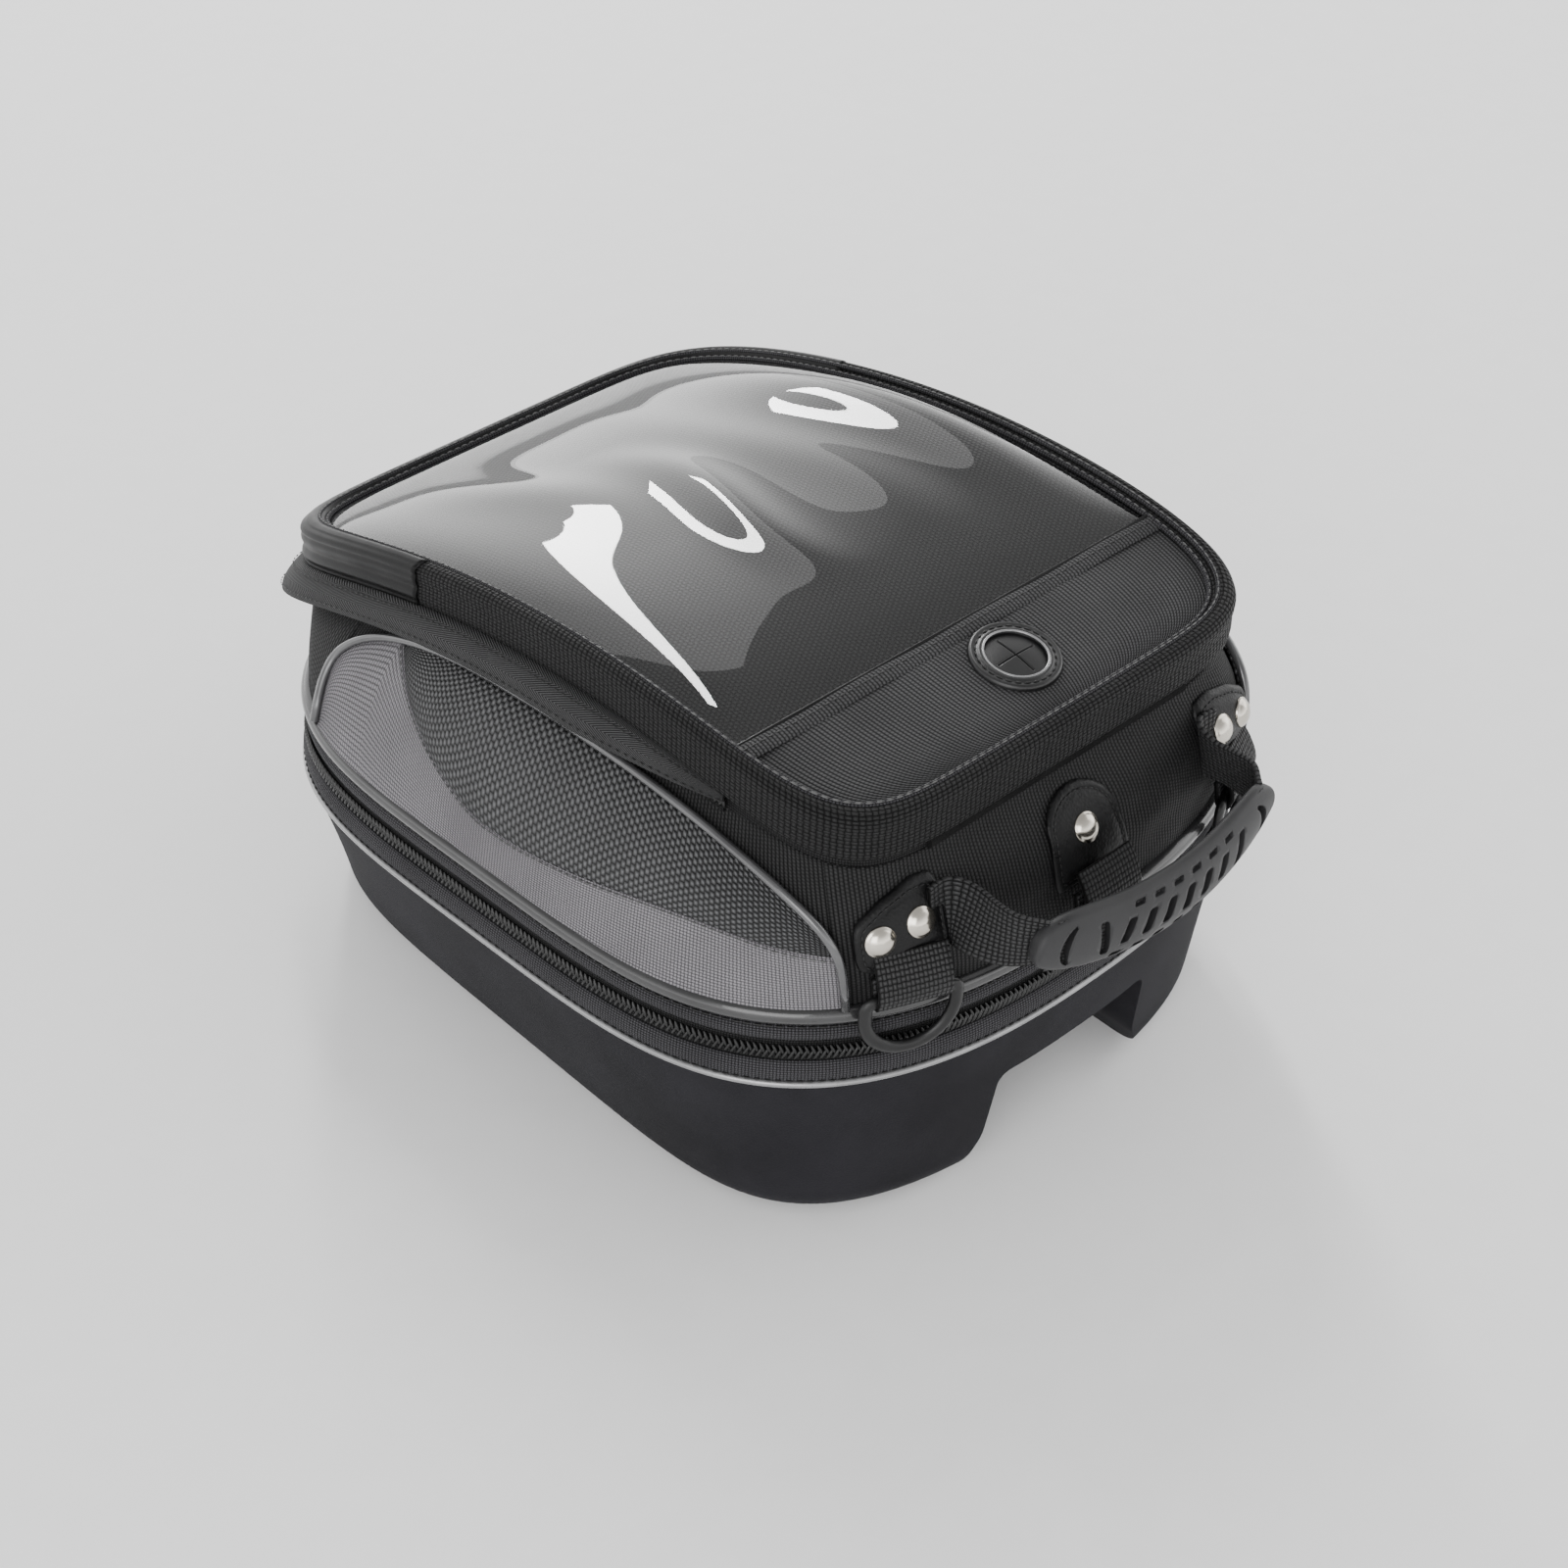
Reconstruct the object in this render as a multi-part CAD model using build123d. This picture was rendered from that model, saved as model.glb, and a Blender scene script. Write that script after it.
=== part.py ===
from build123d import *
import math
import os
from collections import namedtuple
from functools import lru_cache

# A motorcycle tank bag, in millimetres. X runs across the bag, Y runs from the handle end to the rear, and
# Z is up. The origin is on the floor, under the middle of the whole bag's length. Parts are drawn about the
# middle of the shell and moved SHELL_Y towards the rear when they are written.
SHELL_Y = 9.15
CLEAR = 0.3  # gap between neighbouring pieces

# Outlines seen from above: |x / half_width| ** side_power + |y / half_length| ** end_power = 1.
Outline = namedtuple("Outline", "half_width half_length side_power end_power taper centre_y")
FOOT = Outline(112.0, 147.0, 2.4, 6.0, -0.026, 2.0)
SEAM = Outline(135.0, 152.0, 2.45, 4.0, 0.02, 0.0)
BAND_TOP = Outline(131.7, 148.7, 2.45, 4.0, 0.02, 0.0)
LID = Outline(96.5, 142.0, 7.0, 7.0, -0.03, 13.0)
QUARTER = 12  # outline points in each quarter
FINE_STEPS = 90
BISECTIONS = 40
REAR = QUARTER  # stations round an outline: 0 is the +X side, then the rear, the -X side and the handle end
FRONT = 3 * QUARTER

# Heights
BASE_DEPTH = 68.0  # floor to the seam between base and zip band
BAND_HEIGHT = 27.0  # seam to the thick piping
LID_DEPTH = 14.0  # side band of the lid
ZIP_GAP = 8.0  # space for the main zip between lid band and body wall
LID_MIDDLE_HEIGHT = 102.5  # lid surface above the seam, at the lid's middle
LID_SLOPE = -0.12
LID_CURVE = -0.0012
LID_REACH = 190.0  # half-length of the strip the lid surface is drawn on
WALL_FOOT_RISE = 3.5  # body wall's foot above the middle of the thick piping
WALL_RIM_GROW = 1.5  # body wall's rim outside the lid outline
WALL_BULGE = 5.5  # how far the stuffed wall stands out between its foot and its rim
BULGE_SHARE = 0.6  # share of the wall's height where it stands out most
TALL_WALL = 50.0  # a wall lower than this stands out less

# Walls and fabrics
SHELL_WALL = 5.0
FABRIC = 2.5
LAYER = 1.2
FOOT_FILLET = 12.0
MAT_THICKNESS = 3.0
MAT_GAP = 2.0
CUT = 1.0  # how far a cutting shape reaches past what it cuts

# Tunnel under the base
TUNNEL_HALF_WIDTH = 38.0
TUNNEL_ROOF_HALF_WIDTH = 36.0
TUNNEL_HEIGHT = 45.0
TUNNEL_LIP = 10.0
TUNNEL_ROOF_RADIUS = 5.0
TUNNEL_LIP_RADIUS = 16.0

# Mounting ring under the tunnel roof
RING_OUTER_R = 30.0
RING_BORE_R = 19.0
RING_THICKNESS = 5.0
SCREW_CIRCLE_R = 24.5
SCREW_R = 2.0
SCREW_HEAD_R = 4.0
SCREW_HEAD_HEIGHT = 2.5
SCREW_CLEAR = 0.1

# Zip band between base and body. Heights are above the seam.
SEAM_PIPING_R = 1.5
BODY_PIPING_R = 3.2
BODY_PIPING_GROW = 0.3
LOWER_BAND = (1.8, 9.6)
LOWER_COIL = (9.9, 12.9)
UPPER_COIL = (13.3, 16.3)
UPPER_BAND = (16.6, 23.4)
COIL_PROUD = 0.8
PIPING_SIDES = 8

# Inner fabric wall that lets the bag grow taller
GUSSET_INSET = 17.0
GUSSET_TOP = 23.0
GUSSET_HEIGHT = 55.0

# Body wall. Lengths along it are in stations, counted from the middle of the handle end and of the rear.
FRONT_PANEL_SPAN = 4.9
REAR_PANEL_SPAN = 7.4
PANEL_GAP = 0.02
TRIM_SPAN = (5.1, 7.5)
TRIM_SHARE = (0.05, 0.4)
INSERT_SPAN = (5.4, 9.6)
INSERT_SHARE = (0.43, 0.86)
SIDE_PIPING_SPAN = (5.9, 8.4)
SIDE_PIPING_SHARE = (0.9, 0.97)
SIDE_PIPING_PROUD = 3.2
SIDE_PIPING_THICKNESS = 2.7
TRIM_PROUD = 2.5

# Lid
WINDOW_SEAM_Y = -83.0
PANEL_DROP = 0.7
PANEL_INSET = 1.1
PANEL_THICKNESS = 2.5
WINDOW_INSET = 4.0
WINDOW_THICKNESS = 0.8
STIFFENER_DROP = 3.5
STIFFENER_THICKNESS = 2.0
LID_PIPING_R = 2.4
LID_PIPING_GROW = 1.6
LID_PIPING_RISE = 1.6
LID_BAND_GROW = 3.0
LID_BAND_THICKNESS = 2.6
LID_BAND_DROP = 1.2
BINDING_GROW = 4.5
BINDING_DROPS = (12.2, 2.4)
BINDING_SPAN = 9
ZIP_GROW = 2.0
ZIP_SPAN = 17
LID_COIL_DROPS = (17.7, 14.3)
BODY_COIL_DROPS = (21.4, 18.1)
FLAP_TOP = (6.6, 12.5)  # outside of the rain flap's top edge: how far out, and how far below the lid surface
FLAP_FOOT = (9.2, 22.0)
PORT_X = 5.0
PORT_Y = -103.0
PORT_R = 15.0
PORT_HOLE_R = 11.0
PORT_RING_THICKNESS = 2.4
MEMBRANE_THICKNESS = 1.2
MEMBRANE_GAP = 0.1
HINGE_R = 2.5
HINGE_HALF_LENGTH = 60.0

# Handle
GRIP_HALF_LENGTH = 56.0
GRIP_END_Y = -171.0
GRIP_BOW = 8.5
GRIP_Z = 60.0
GRIP_SAG = 7.0
GRIP_WIDTH = 24.0
GRIP_THICKNESS = 6.0
GRIP_END_TAPER = 0.25
STRAP_WIDTH = 22.0
STRAP_THICKNESS = 3.0
STRAP_OVERLAP = 1.0
STRAP_ROOT_X = 57.5
STRAP_ROOT_Y = -147.0

# D-rings and their loops
D_WIRE_R = 2.0
D_HALF_WIDTH = 15.5
D_LEG = 6.0
D_BAR_Z = 36.0
D_OUT = 6.0
LOOP_WIDTH = 25.0
LOOP_THICKNESS = 7.0
LOOP_TOP = 7.5
CORNER_STATION = 3.9  # stations from the middle of the handle end to a corner patch

# Leather patches and rivets. Lengths along the wall are in stations.
PATCH_PROUD = 2.8
PATCH_THICKNESS = 2.0
CORNER_PATCH_SHARE = (0.34, 0.94)
CORNER_PATCH_REACH = (0.82, 0.78)
MIDDLE_PATCH_SHARE = (0.32, 0.96)
MIDDLE_PATCH_HALF_SPAN = 0.8
RIVET_R = 5.2
RIVET_RISE = 2.6
RIVET_OUT = 3.0
MIDDLE_RIVET_SHARE = 0.7
INNER_RIVET = (-0.36, 0.7)  # stations from the patch's middle, and share of the wall's height
OUTER_RIVET = (0.36, 0.64)
NEARBY = 0.05  # small step along or up the wall

# Zip sliders
SLIDER_LENGTH = 9.0
SLIDER_THICKNESS = 1.8
PULL_LENGTH = 18.0
PULL_WIDTH = 5.0
PULL_THICKNESS = 1.2
MAIN_SLIDER_X = 14.0
MAIN_SLIDER_DROP = 18.6
MAIN_SLIDER_HEIGHT = 4.6
MAIN_SLIDER_OUT = 3.3
MAIN_PULL_OUT = 4.2
MAIN_PULL_DROP = 3.2
EXPANSION_SLIDER_RISE = 13.1
EXPANSION_SLIDER_HEIGHT = 6.4
EXPANSION_SLIDER_OUT = 1.0
EXPANSION_PULL_OUT = 2.9
EXPANSION_PULL_DROP = 4.2

MIRRORED = {"right": 1, "left": -1}


# --- Outlines, rails and skins ---

def radius_at(outline, angle):
    """Distance from an outline's middle to the outline, in a direction in its first quarter."""
    low, high = 0.0, outline.half_width + outline.half_length
    for _ in range(BISECTIONS):
        middle = (low + high) / 2
        across = (middle * math.cos(angle) / outline.half_width) ** outline.side_power
        along = (middle * math.sin(angle) / outline.half_length) ** outline.end_power
        if across + along > 1:
            high = middle
        else:
            low = middle
    return low


@lru_cache(maxsize=None)
def quarter_points(outline):
    """Evenly spaced points along the first quarter of an outline, from the side to the end."""
    fine = []
    for step in range(FINE_STEPS + 1):
        angle = math.pi / 2 * step / FINE_STEPS
        radius = radius_at(outline, angle)
        fine.append((radius * math.cos(angle), radius * math.sin(angle)))
    reached = [0.0]
    for before, after in zip(fine, fine[1:]):
        reached.append(reached[-1] + math.dist(before, after))
    points = []
    for count in range(QUARTER + 1):
        wanted = reached[-1] * count / QUARTER
        index = max(i for i in range(FINE_STEPS) if reached[i] <= wanted + 1e-9)
        share = (wanted - reached[index]) / (reached[index + 1] - reached[index])
        points.append(tuple(a + (b - a) * share for a, b in zip(fine[index], fine[index + 1])))
    return points


def station_point(outline, grow, station):
    """Point of an outline, grown outwards, at a station counted right round it."""
    grown = outline._replace(
        half_width=outline.half_width + grow, half_length=outline.half_length + grow
    )
    quarter, place = divmod(station % (4 * QUARTER), QUARTER)
    if quarter in (1, 3):
        place = QUARTER - place
    index = min(int(place), QUARTER - 1)
    share = place - index
    points = quarter_points(grown)
    x, y = (a + (b - a) * share for a, b in zip(points[index], points[index + 1]))
    x = -x if quarter in (1, 2) else x
    y = -y if quarter in (2, 3) else y
    return x * (1 + outline.taper * y / outline.half_length), y + outline.centre_y


def stations(start, stop):
    """Whole stations between two ends, with the ends themselves."""
    inner = range(math.floor(start) + 1, math.ceil(stop))
    return [start, *inner, stop]


ALL_ROUND = tuple(range(4 * QUARTER))


def rail(outline, grow, height, along=ALL_ROUND):
    """Points along an outline at a height, which may be a number or a function of y."""
    points = []
    for station in along:
        x, y = station_point(outline, grow, station)
        z = height(y) if callable(height) else height
        points.append((x, y, BASE_DEPTH + z))
    return points


def lid_height(drop=0.0):
    """Height of the lid surface above the seam as a function of y, lowered by drop."""
    def height(y):
        reach = y - LID.centre_y
        return LID_MIDDLE_HEIGHT + LID_SLOPE * reach + LID_CURVE * reach**2 - drop
    return height


def flat_wall_rail(share, grow, along):
    """Points between the foot of the body wall at the thick piping and its rim under the lid."""
    low = rail(BAND_TOP, grow, BAND_HEIGHT + WALL_FOOT_RISE, along)
    high = rail(LID, grow + WALL_RIM_GROW, lid_height(LID_DEPTH + ZIP_GAP), along)
    mixed = [tuple(a + (b - a) * share for a, b in zip(p, q)) for p, q in zip(low, high)]
    return mixed, [q[2] - p[2] for p, q in zip(low, high)]


def wall_rail(share, grow, along=ALL_ROUND):
    """Points on the stuffed body wall: share 0 is its foot at the thick piping, share 1 its rim."""
    bulge = min(share / BULGE_SHARE, (1 - share) / (1 - BULGE_SHARE))
    flat, heights = flat_wall_rail(share, grow, along)
    full, _ = flat_wall_rail(share, grow + WALL_BULGE, along)
    points = []
    for near, far, height in zip(flat, full, heights):
        out = bulge * min(1, height / TALL_WALL)
        points.append(tuple(a + (b - a) * out for a, b in zip(near, far)))
    return points


def skin(rails, closed):
    """Solid with ruled sides between rails, given in order round its cross-section."""
    edges = [Edge.make_spline([Vector(*p) for p in points], periodic=closed) for points in rails]
    count = len(rails)
    faces = [Face.make_surface_from_curves(edges[i], edges[(i + 1) % count]) for i in range(count)]
    if not closed:
        for end in (0, -1):
            corners = [Vector(*points[end]) for points in rails]
            for i in range(count // 2 - 1):
                outer = Edge.make_line(corners[i], corners[i + 1])
                inner = Edge.make_line(corners[-1 - i], corners[-2 - i])
                faces.append(Face.make_surface_from_curves(outer, inner))
    solid = Solid(Shell(faces))
    return solid if solid.volume > 0 else Solid(solid.wrapped.Reversed())


def level_ring(outline, grow, thickness, low, high, span=None):
    """Ring, or part of one between two stations, that follows an outline between two heights."""
    along = stations(*span) if span else ALL_ROUND
    rails = [
        rail(outline, grow, low, along),
        rail(outline, grow, high, along),
        rail(outline, grow - thickness, high, along),
        rail(outline, grow - thickness, low, along),
    ]
    return skin(rails, closed=not span)


def wall_panel(low, high, grow, thickness, span):
    """Panel that lies on the body wall between two shares of its height and two stations."""
    along = stations(*span)
    shares = [low, BULGE_SHARE, high] if low < BULGE_SHARE < high else [low, high]
    outside = [wall_rail(share, grow, along) for share in shares]
    inside = [wall_rail(share, grow - thickness, along) for share in reversed(shares)]
    return skin(outside + inside, closed=False)


def filled(outline, grow, z):
    """Flat face inside an outline, at a height above the floor."""
    points = [Vector(x, y, z) for x, y, _ in rail(outline, grow, 0.0)]
    return Face(Wire([Edge.make_spline(points, periodic=True)]))


def prism(outline, grow, low, high):
    return Solid.extrude(filled(outline, grow, low), Vector(0, 0, high - low))


def under_lid(drop):
    """Everything below the lid surface lowered by drop."""
    steps = 24
    height = lid_height(drop)
    ys = [LID.centre_y - LID_REACH + 2 * LID_REACH * i / steps for i in range(steps + 1)]
    top = Edge.make_spline([Vector(-LID_REACH, y, BASE_DEPTH + height(y)) for y in ys[:: steps // 6]])
    start, end = top @ 0, top @ 1
    low = [Vector(-LID_REACH, end.Y, 0), Vector(-LID_REACH, start.Y, 0)]
    sides = [Edge.make_line(end, low[0]), Edge.make_line(low[0], low[1]), Edge.make_line(low[1], start)]
    return Solid.extrude(Face(Wire([top, *sides])), Vector(2 * LID_REACH, 0, 0))


# --- Base ---

def tunnel_block(grow):
    """The space of the fore-aft tunnel, grown by a wall thickness, with rounded roof and flared lips."""
    width, roof = TUNNEL_HALF_WIDTH + grow, TUNNEL_ROOF_HALF_WIDTH + grow
    top = TUNNEL_HEIGHT + grow
    reach = SEAM.half_length + LOOP_WIDTH
    with BuildSketch(Plane.XZ.offset(-reach)) as profile:
        with BuildLine():
            Polyline(
                (-width - TUNNEL_LIP, -CUT),
                (-width, TUNNEL_LIP_RADIUS),
                (-roof, top),
                (roof, top),
                (width, TUNNEL_LIP_RADIUS),
                (width + TUNNEL_LIP, -CUT),
                close=True,
            )
        make_face()
        fillet(profile.vertices().sort_by(Axis.Y)[-2:], TUNNEL_ROOF_RADIUS)
        fillet(profile.vertices().sort_by(Axis.Y)[2:4], TUNNEL_LIP_RADIUS)
    return extrude(profile.sketch, amount=2 * reach)


def base_block(grow, low, high):
    """Tapered block of the base between two heights."""
    def at(z):
        share = z / BASE_DEPTH
        foot, seam = rail(FOOT, grow, 0.0), rail(SEAM, grow, 0.0)
        mixed = [Vector(p[0] + (q[0] - p[0]) * share, p[1] + (q[1] - p[1]) * share, z)
                 for p, q in zip(foot, seam)]
        return Wire([Edge.make_spline(mixed, periodic=True)])
    return Solid.make_loft([at(low), at(high)], ruled=True)


def base_shell():
    outer = base_block(0, 0, BASE_DEPTH - SEAM_PIPING_R - CLEAR)
    outer = fillet(outer.edges().sort_by(Axis.Z)[0], FOOT_FILLET)
    outer = outer - tunnel_block(0)
    inner = base_block(-SHELL_WALL, SHELL_WALL, BASE_DEPTH) - tunnel_block(SHELL_WALL)
    shell = outer - inner
    hole = Cylinder(SCREW_R + SCREW_CLEAR, 2 * (SHELL_WALL + CUT))
    for place in screw_places(TUNNEL_HEIGHT + SHELL_WALL / 2):
        shell = shell - place * hole
    return shell


def lining_mats():
    """Foam mat on the floor of each lobe."""
    edge = SHELL_WALL + MAT_GAP
    low = SHELL_WALL + CLEAR
    return base_block(-edge, low, low + MAT_THICKNESS) - tunnel_block(edge)


def screw_places(z):
    return [
        Pos(SCREW_CIRCLE_R * math.cos(angle), SCREW_CIRCLE_R * math.sin(angle), z)
        for angle in (math.pi / 4 + math.pi / 2 * i for i in range(4))
    ]


def mounting_ring():
    low = TUNNEL_HEIGHT - RING_THICKNESS
    ring = Cylinder(RING_OUTER_R, RING_THICKNESS) - Cylinder(RING_BORE_R, RING_THICKNESS)
    for place in screw_places(0):
        ring = ring - place * Cylinder(SCREW_R + SCREW_CLEAR, RING_THICKNESS)
    return Pos(0, 0, low + RING_THICKNESS / 2) * ring


def mounting_screws():
    roof_top = TUNNEL_HEIGHT + SHELL_WALL
    shank = roof_top - (TUNNEL_HEIGHT - RING_THICKNESS)
    screw = Pos(0, 0, -shank / 2) * Cylinder(SCREW_R, shank)
    screw = screw + Pos(0, 0, SCREW_HEAD_HEIGHT / 2) * Cylinder(SCREW_HEAD_R, SCREW_HEAD_HEIGHT)
    return Part() + [place * screw for place in screw_places(roof_top)]


# --- Zip band ---

def round_piping(outline, grow, height, radius):
    """Cord-filled piping with an eight-sided section, right round an outline."""
    rails = []
    for side in range(PIPING_SIDES):
        angle = 2 * math.pi * side / PIPING_SIDES
        rise = radius * math.sin(angle)
        lifted = (lambda y, r=rise: height(y) + r) if callable(height) else height + rise
        rails.append(rail(outline, grow + radius * math.cos(angle), lifted))
    return skin(rails, closed=True)


def band_ring(heights, proud=0.0):
    """Ring of the zip band between two heights, on the slope from the seam to the thick piping."""
    middle = sum(heights) / 2
    slope = (BAND_TOP.half_width - SEAM.half_width) / BAND_HEIGHT
    return level_ring(SEAM, slope * middle + proud, FABRIC, *heights)


def zip_band_parts():
    """Fabric bands, coils and pipings from the seam up to the foot of the body wall."""
    return {
        "seam_piping": round_piping(SEAM, 0.0, 0.0, SEAM_PIPING_R),
        "lower_zip_band": band_ring(LOWER_BAND),
        "lower_zip_coil": band_ring(LOWER_COIL, COIL_PROUD),
        "upper_zip_coil": band_ring(UPPER_COIL, COIL_PROUD),
        "upper_zip_band": band_ring(UPPER_BAND),
        "body_piping": round_piping(BAND_TOP, BODY_PIPING_GROW, BAND_HEIGHT, BODY_PIPING_R),
        "expansion_gusset": expansion_gusset(),
    }


def expansion_gusset():
    """Inner fabric wall that closes the gap when the bag is expanded, notched over the tunnel."""
    wall = level_ring(SEAM, -GUSSET_INSET, LAYER, GUSSET_TOP - GUSSET_HEIGHT, GUSSET_TOP)
    return wall - tunnel_block(SHELL_WALL + CUT)


# --- Body walls ---

def side_span(side, front, rear):
    """Stations of a stretch of one side, given as stations behind the handle end and before the rear."""
    if side == "left":
        return REAR + rear, FRONT - front
    return FRONT + front, 4 * QUARTER + REAR - rear


def lid_ring(grow, thickness, drops, half_span):
    """Strip round the rear of the lid outline, between two drops below the lid surface."""
    low, high = (lid_height(drop) for drop in drops)
    return level_ring(LID, grow, thickness, low, high, (REAR - half_span, REAR + half_span))


def body_wall_parts():
    front = (FRONT - FRONT_PANEL_SPAN, FRONT + FRONT_PANEL_SPAN)
    rear = (REAR - REAR_PANEL_SPAN, REAR + REAR_PANEL_SPAN)
    parts = {
        "front_panel": wall_panel(0, 1, 0, FABRIC, front),
        "rear_panel": wall_panel(0, 1, 0, FABRIC, rear),
        "main_zip_body_coil": lid_ring(ZIP_GROW, FABRIC, BODY_COIL_DROPS, ZIP_SPAN),
    }
    for side in MIRRORED:
        panel_span = side_span(side, FRONT_PANEL_SPAN + PANEL_GAP, REAR_PANEL_SPAN + PANEL_GAP)
        parts[f"{side}_side_panel"] = wall_panel(0, 1, 0, FABRIC, panel_span)
        for name, share, span in (
            ("grey_trim", TRIM_SHARE, TRIM_SPAN),
            ("mesh_insert", INSERT_SHARE, INSERT_SPAN),
        ):
            parts[f"{side}_{name}"] = wall_panel(*share, TRIM_PROUD, LAYER, side_span(side, *span))
        parts[f"{side}_side_piping"] = wall_panel(
            *SIDE_PIPING_SHARE, SIDE_PIPING_PROUD, SIDE_PIPING_THICKNESS, side_span(side, *SIDE_PIPING_SPAN)
        )
    return parts


def hinge_bead():
    """Sewn bead along the straight handle end of the lid: the line that the lid turns about."""
    bead = Cylinder(HINGE_R, 2 * HINGE_HALF_LENGTH, rotation=(0, 90, 0))
    return Pos(0, *hinge_place()) * bead


def hinge_place():
    y = LID.centre_y - LID.half_length + 0.5
    return y, BASE_DEPTH + lid_height(LID_DEPTH + ZIP_GAP / 2)(y)


# --- Lid ---

def lid_sheet(top_drop, thickness, grow, outline_cut=None):
    """Sheet that follows the lid surface inside the lid outline."""
    block = prism(LID, grow, BASE_DEPTH, BASE_DEPTH + LID_REACH)
    sheet = block & under_lid(top_drop)
    sheet = sheet - under_lid(top_drop + thickness)
    return sheet & outline_cut if outline_cut else sheet


def half_space(front):
    """Everything in front of, or behind, the seam between the lid's fabric and its window."""
    size = 3 * LID_REACH
    shift = -size / 2 - CLEAR / 2 if front else size / 2 + CLEAR / 2
    return Pos(0, WINDOW_SEAM_Y + shift, BASE_DEPTH) * Box(size, size, size)


def port_place(height):
    """Frame of the cable port, square to the lid surface."""
    surface = lid_height()
    slope = surface(PORT_Y + 1) - surface(PORT_Y)
    tilt = math.degrees(math.atan(slope))
    return Pos(PORT_X, PORT_Y, BASE_DEPTH + surface(PORT_Y)) * Rot(tilt, 0, 0) * Pos(0, 0, height)


def rain_flap():
    """Strip of tape that leans outwards over the main zip."""
    along = stations(REAR - ZIP_SPAN, REAR + ZIP_SPAN)
    rails = []
    for (grow, drop), inwards in ((FLAP_TOP, 0), (FLAP_TOP, LAYER), (FLAP_FOOT, LAYER), (FLAP_FOOT, 0)):
        rails.append(rail(LID, grow - inwards, lid_height(drop), along))
    return skin(rails, closed=False)


def lid_parts():
    bore = port_place(0) * Cylinder(PORT_HOLE_R, LID_DEPTH)
    ring = Cylinder(PORT_R, PORT_RING_THICKNESS) - Cylinder(PORT_HOLE_R, PORT_RING_THICKNESS)
    membrane = Cylinder(PORT_HOLE_R - MEMBRANE_GAP, MEMBRANE_THICKNESS)
    panel = PANEL_DROP, PANEL_THICKNESS, -PANEL_INSET
    window = -WINDOW_THICKNESS, WINDOW_THICKNESS, -WINDOW_INSET
    band = LID_BAND_GROW, LID_BAND_THICKNESS
    return {
        "lid_front_panel": lid_sheet(*panel, half_space(True)) - bore,
        "map_pocket_backing": lid_sheet(*panel, half_space(False)),
        "map_window": lid_sheet(*window, half_space(False)),
        "lid_stiffener": lid_sheet(STIFFENER_DROP, STIFFENER_THICKNESS, -WINDOW_INSET) - bore,
        "lid_piping": round_piping(LID, LID_PIPING_GROW, lid_height(-LID_PIPING_RISE), LID_PIPING_R),
        "lid_band": level_ring(LID, *band, lid_height(LID_DEPTH), lid_height(LID_BAND_DROP)),
        "lid_rear_binding": lid_ring(BINDING_GROW, LAYER, BINDING_DROPS, BINDING_SPAN),
        "main_zip_lid_coil": lid_ring(ZIP_GROW, FABRIC, LID_COIL_DROPS, ZIP_SPAN),
        "rain_flap": rain_flap(),
        "cable_port_ring": port_place(PORT_RING_THICKNESS / 2) * ring,
        "cable_port_membrane": port_place(MEMBRANE_THICKNESS / 2) * membrane,
    }


# --- Patches, rivets, loops and D-rings ---

def wall_frame(station, share, out):
    """Frame on the wall at a station and share of height: Z square to the wall outwards, Y up it."""
    here = Vector(*wall_rail(share, 0, [station])[0])
    up = Vector(*wall_rail(share + NEARBY, 0, [station])[0]) - here
    on = Vector(*wall_rail(share, 0, [station + NEARBY])[0]) - here
    normal = on.cross(up).normalized()
    return Plane(origin=here + normal * out, x_dir=on.normalized(), z_dir=normal).location


def patch_parts():
    middle = (FRONT - MIDDLE_PATCH_HALF_SPAN, FRONT + MIDDLE_PATCH_HALF_SPAN)
    layer = PATCH_PROUD, PATCH_THICKNESS
    parts = {"middle_patch": wall_panel(*MIDDLE_PATCH_SHARE, *layer, middle)}
    inner, outer = CORNER_PATCH_REACH
    for side, sign in MIRRORED.items():
        span = sorted((FRONT + sign * (CORNER_STATION - inner), FRONT + sign * (CORNER_STATION + outer)))
        parts[f"{side}_corner_patch"] = wall_panel(*CORNER_PATCH_SHARE, *layer, span)
    return parts


def rivets():
    """Domed caps: two on each corner patch and one on the middle patch."""
    ball_r = (RIVET_R**2 + RIVET_RISE**2) / (2 * RIVET_RISE)
    above = Pos(0, 0, RIVET_RISE) * Box(4 * RIVET_R, 4 * RIVET_R, 2 * RIVET_RISE)
    cap = Pos(0, 0, RIVET_RISE - ball_r) * Sphere(ball_r) & above
    spots = [(0.0, MIDDLE_RIVET_SHARE)]
    for sign in MIRRORED.values():
        for shift, share in (INNER_RIVET, OUTER_RIVET):
            spots.append((sign * (CORNER_STATION + shift), share))
    return Part() + [wall_frame(FRONT + shift, share, RIVET_OUT) * cap for shift, share in spots]


def ring_place(station_shift):
    """Frame at a D-ring's bar: X along the bar, Y inwards, Z up."""
    station = FRONT + station_shift
    x, y = station_point(BAND_TOP, D_OUT, station)
    ahead = station_point(BAND_TOP, D_OUT, station + NEARBY)
    turn = math.degrees(math.atan2(ahead[1] - y, ahead[0] - x))
    return Pos(x, y, BASE_DEPTH + D_BAR_Z) * Rot(0, 0, turn)


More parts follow.
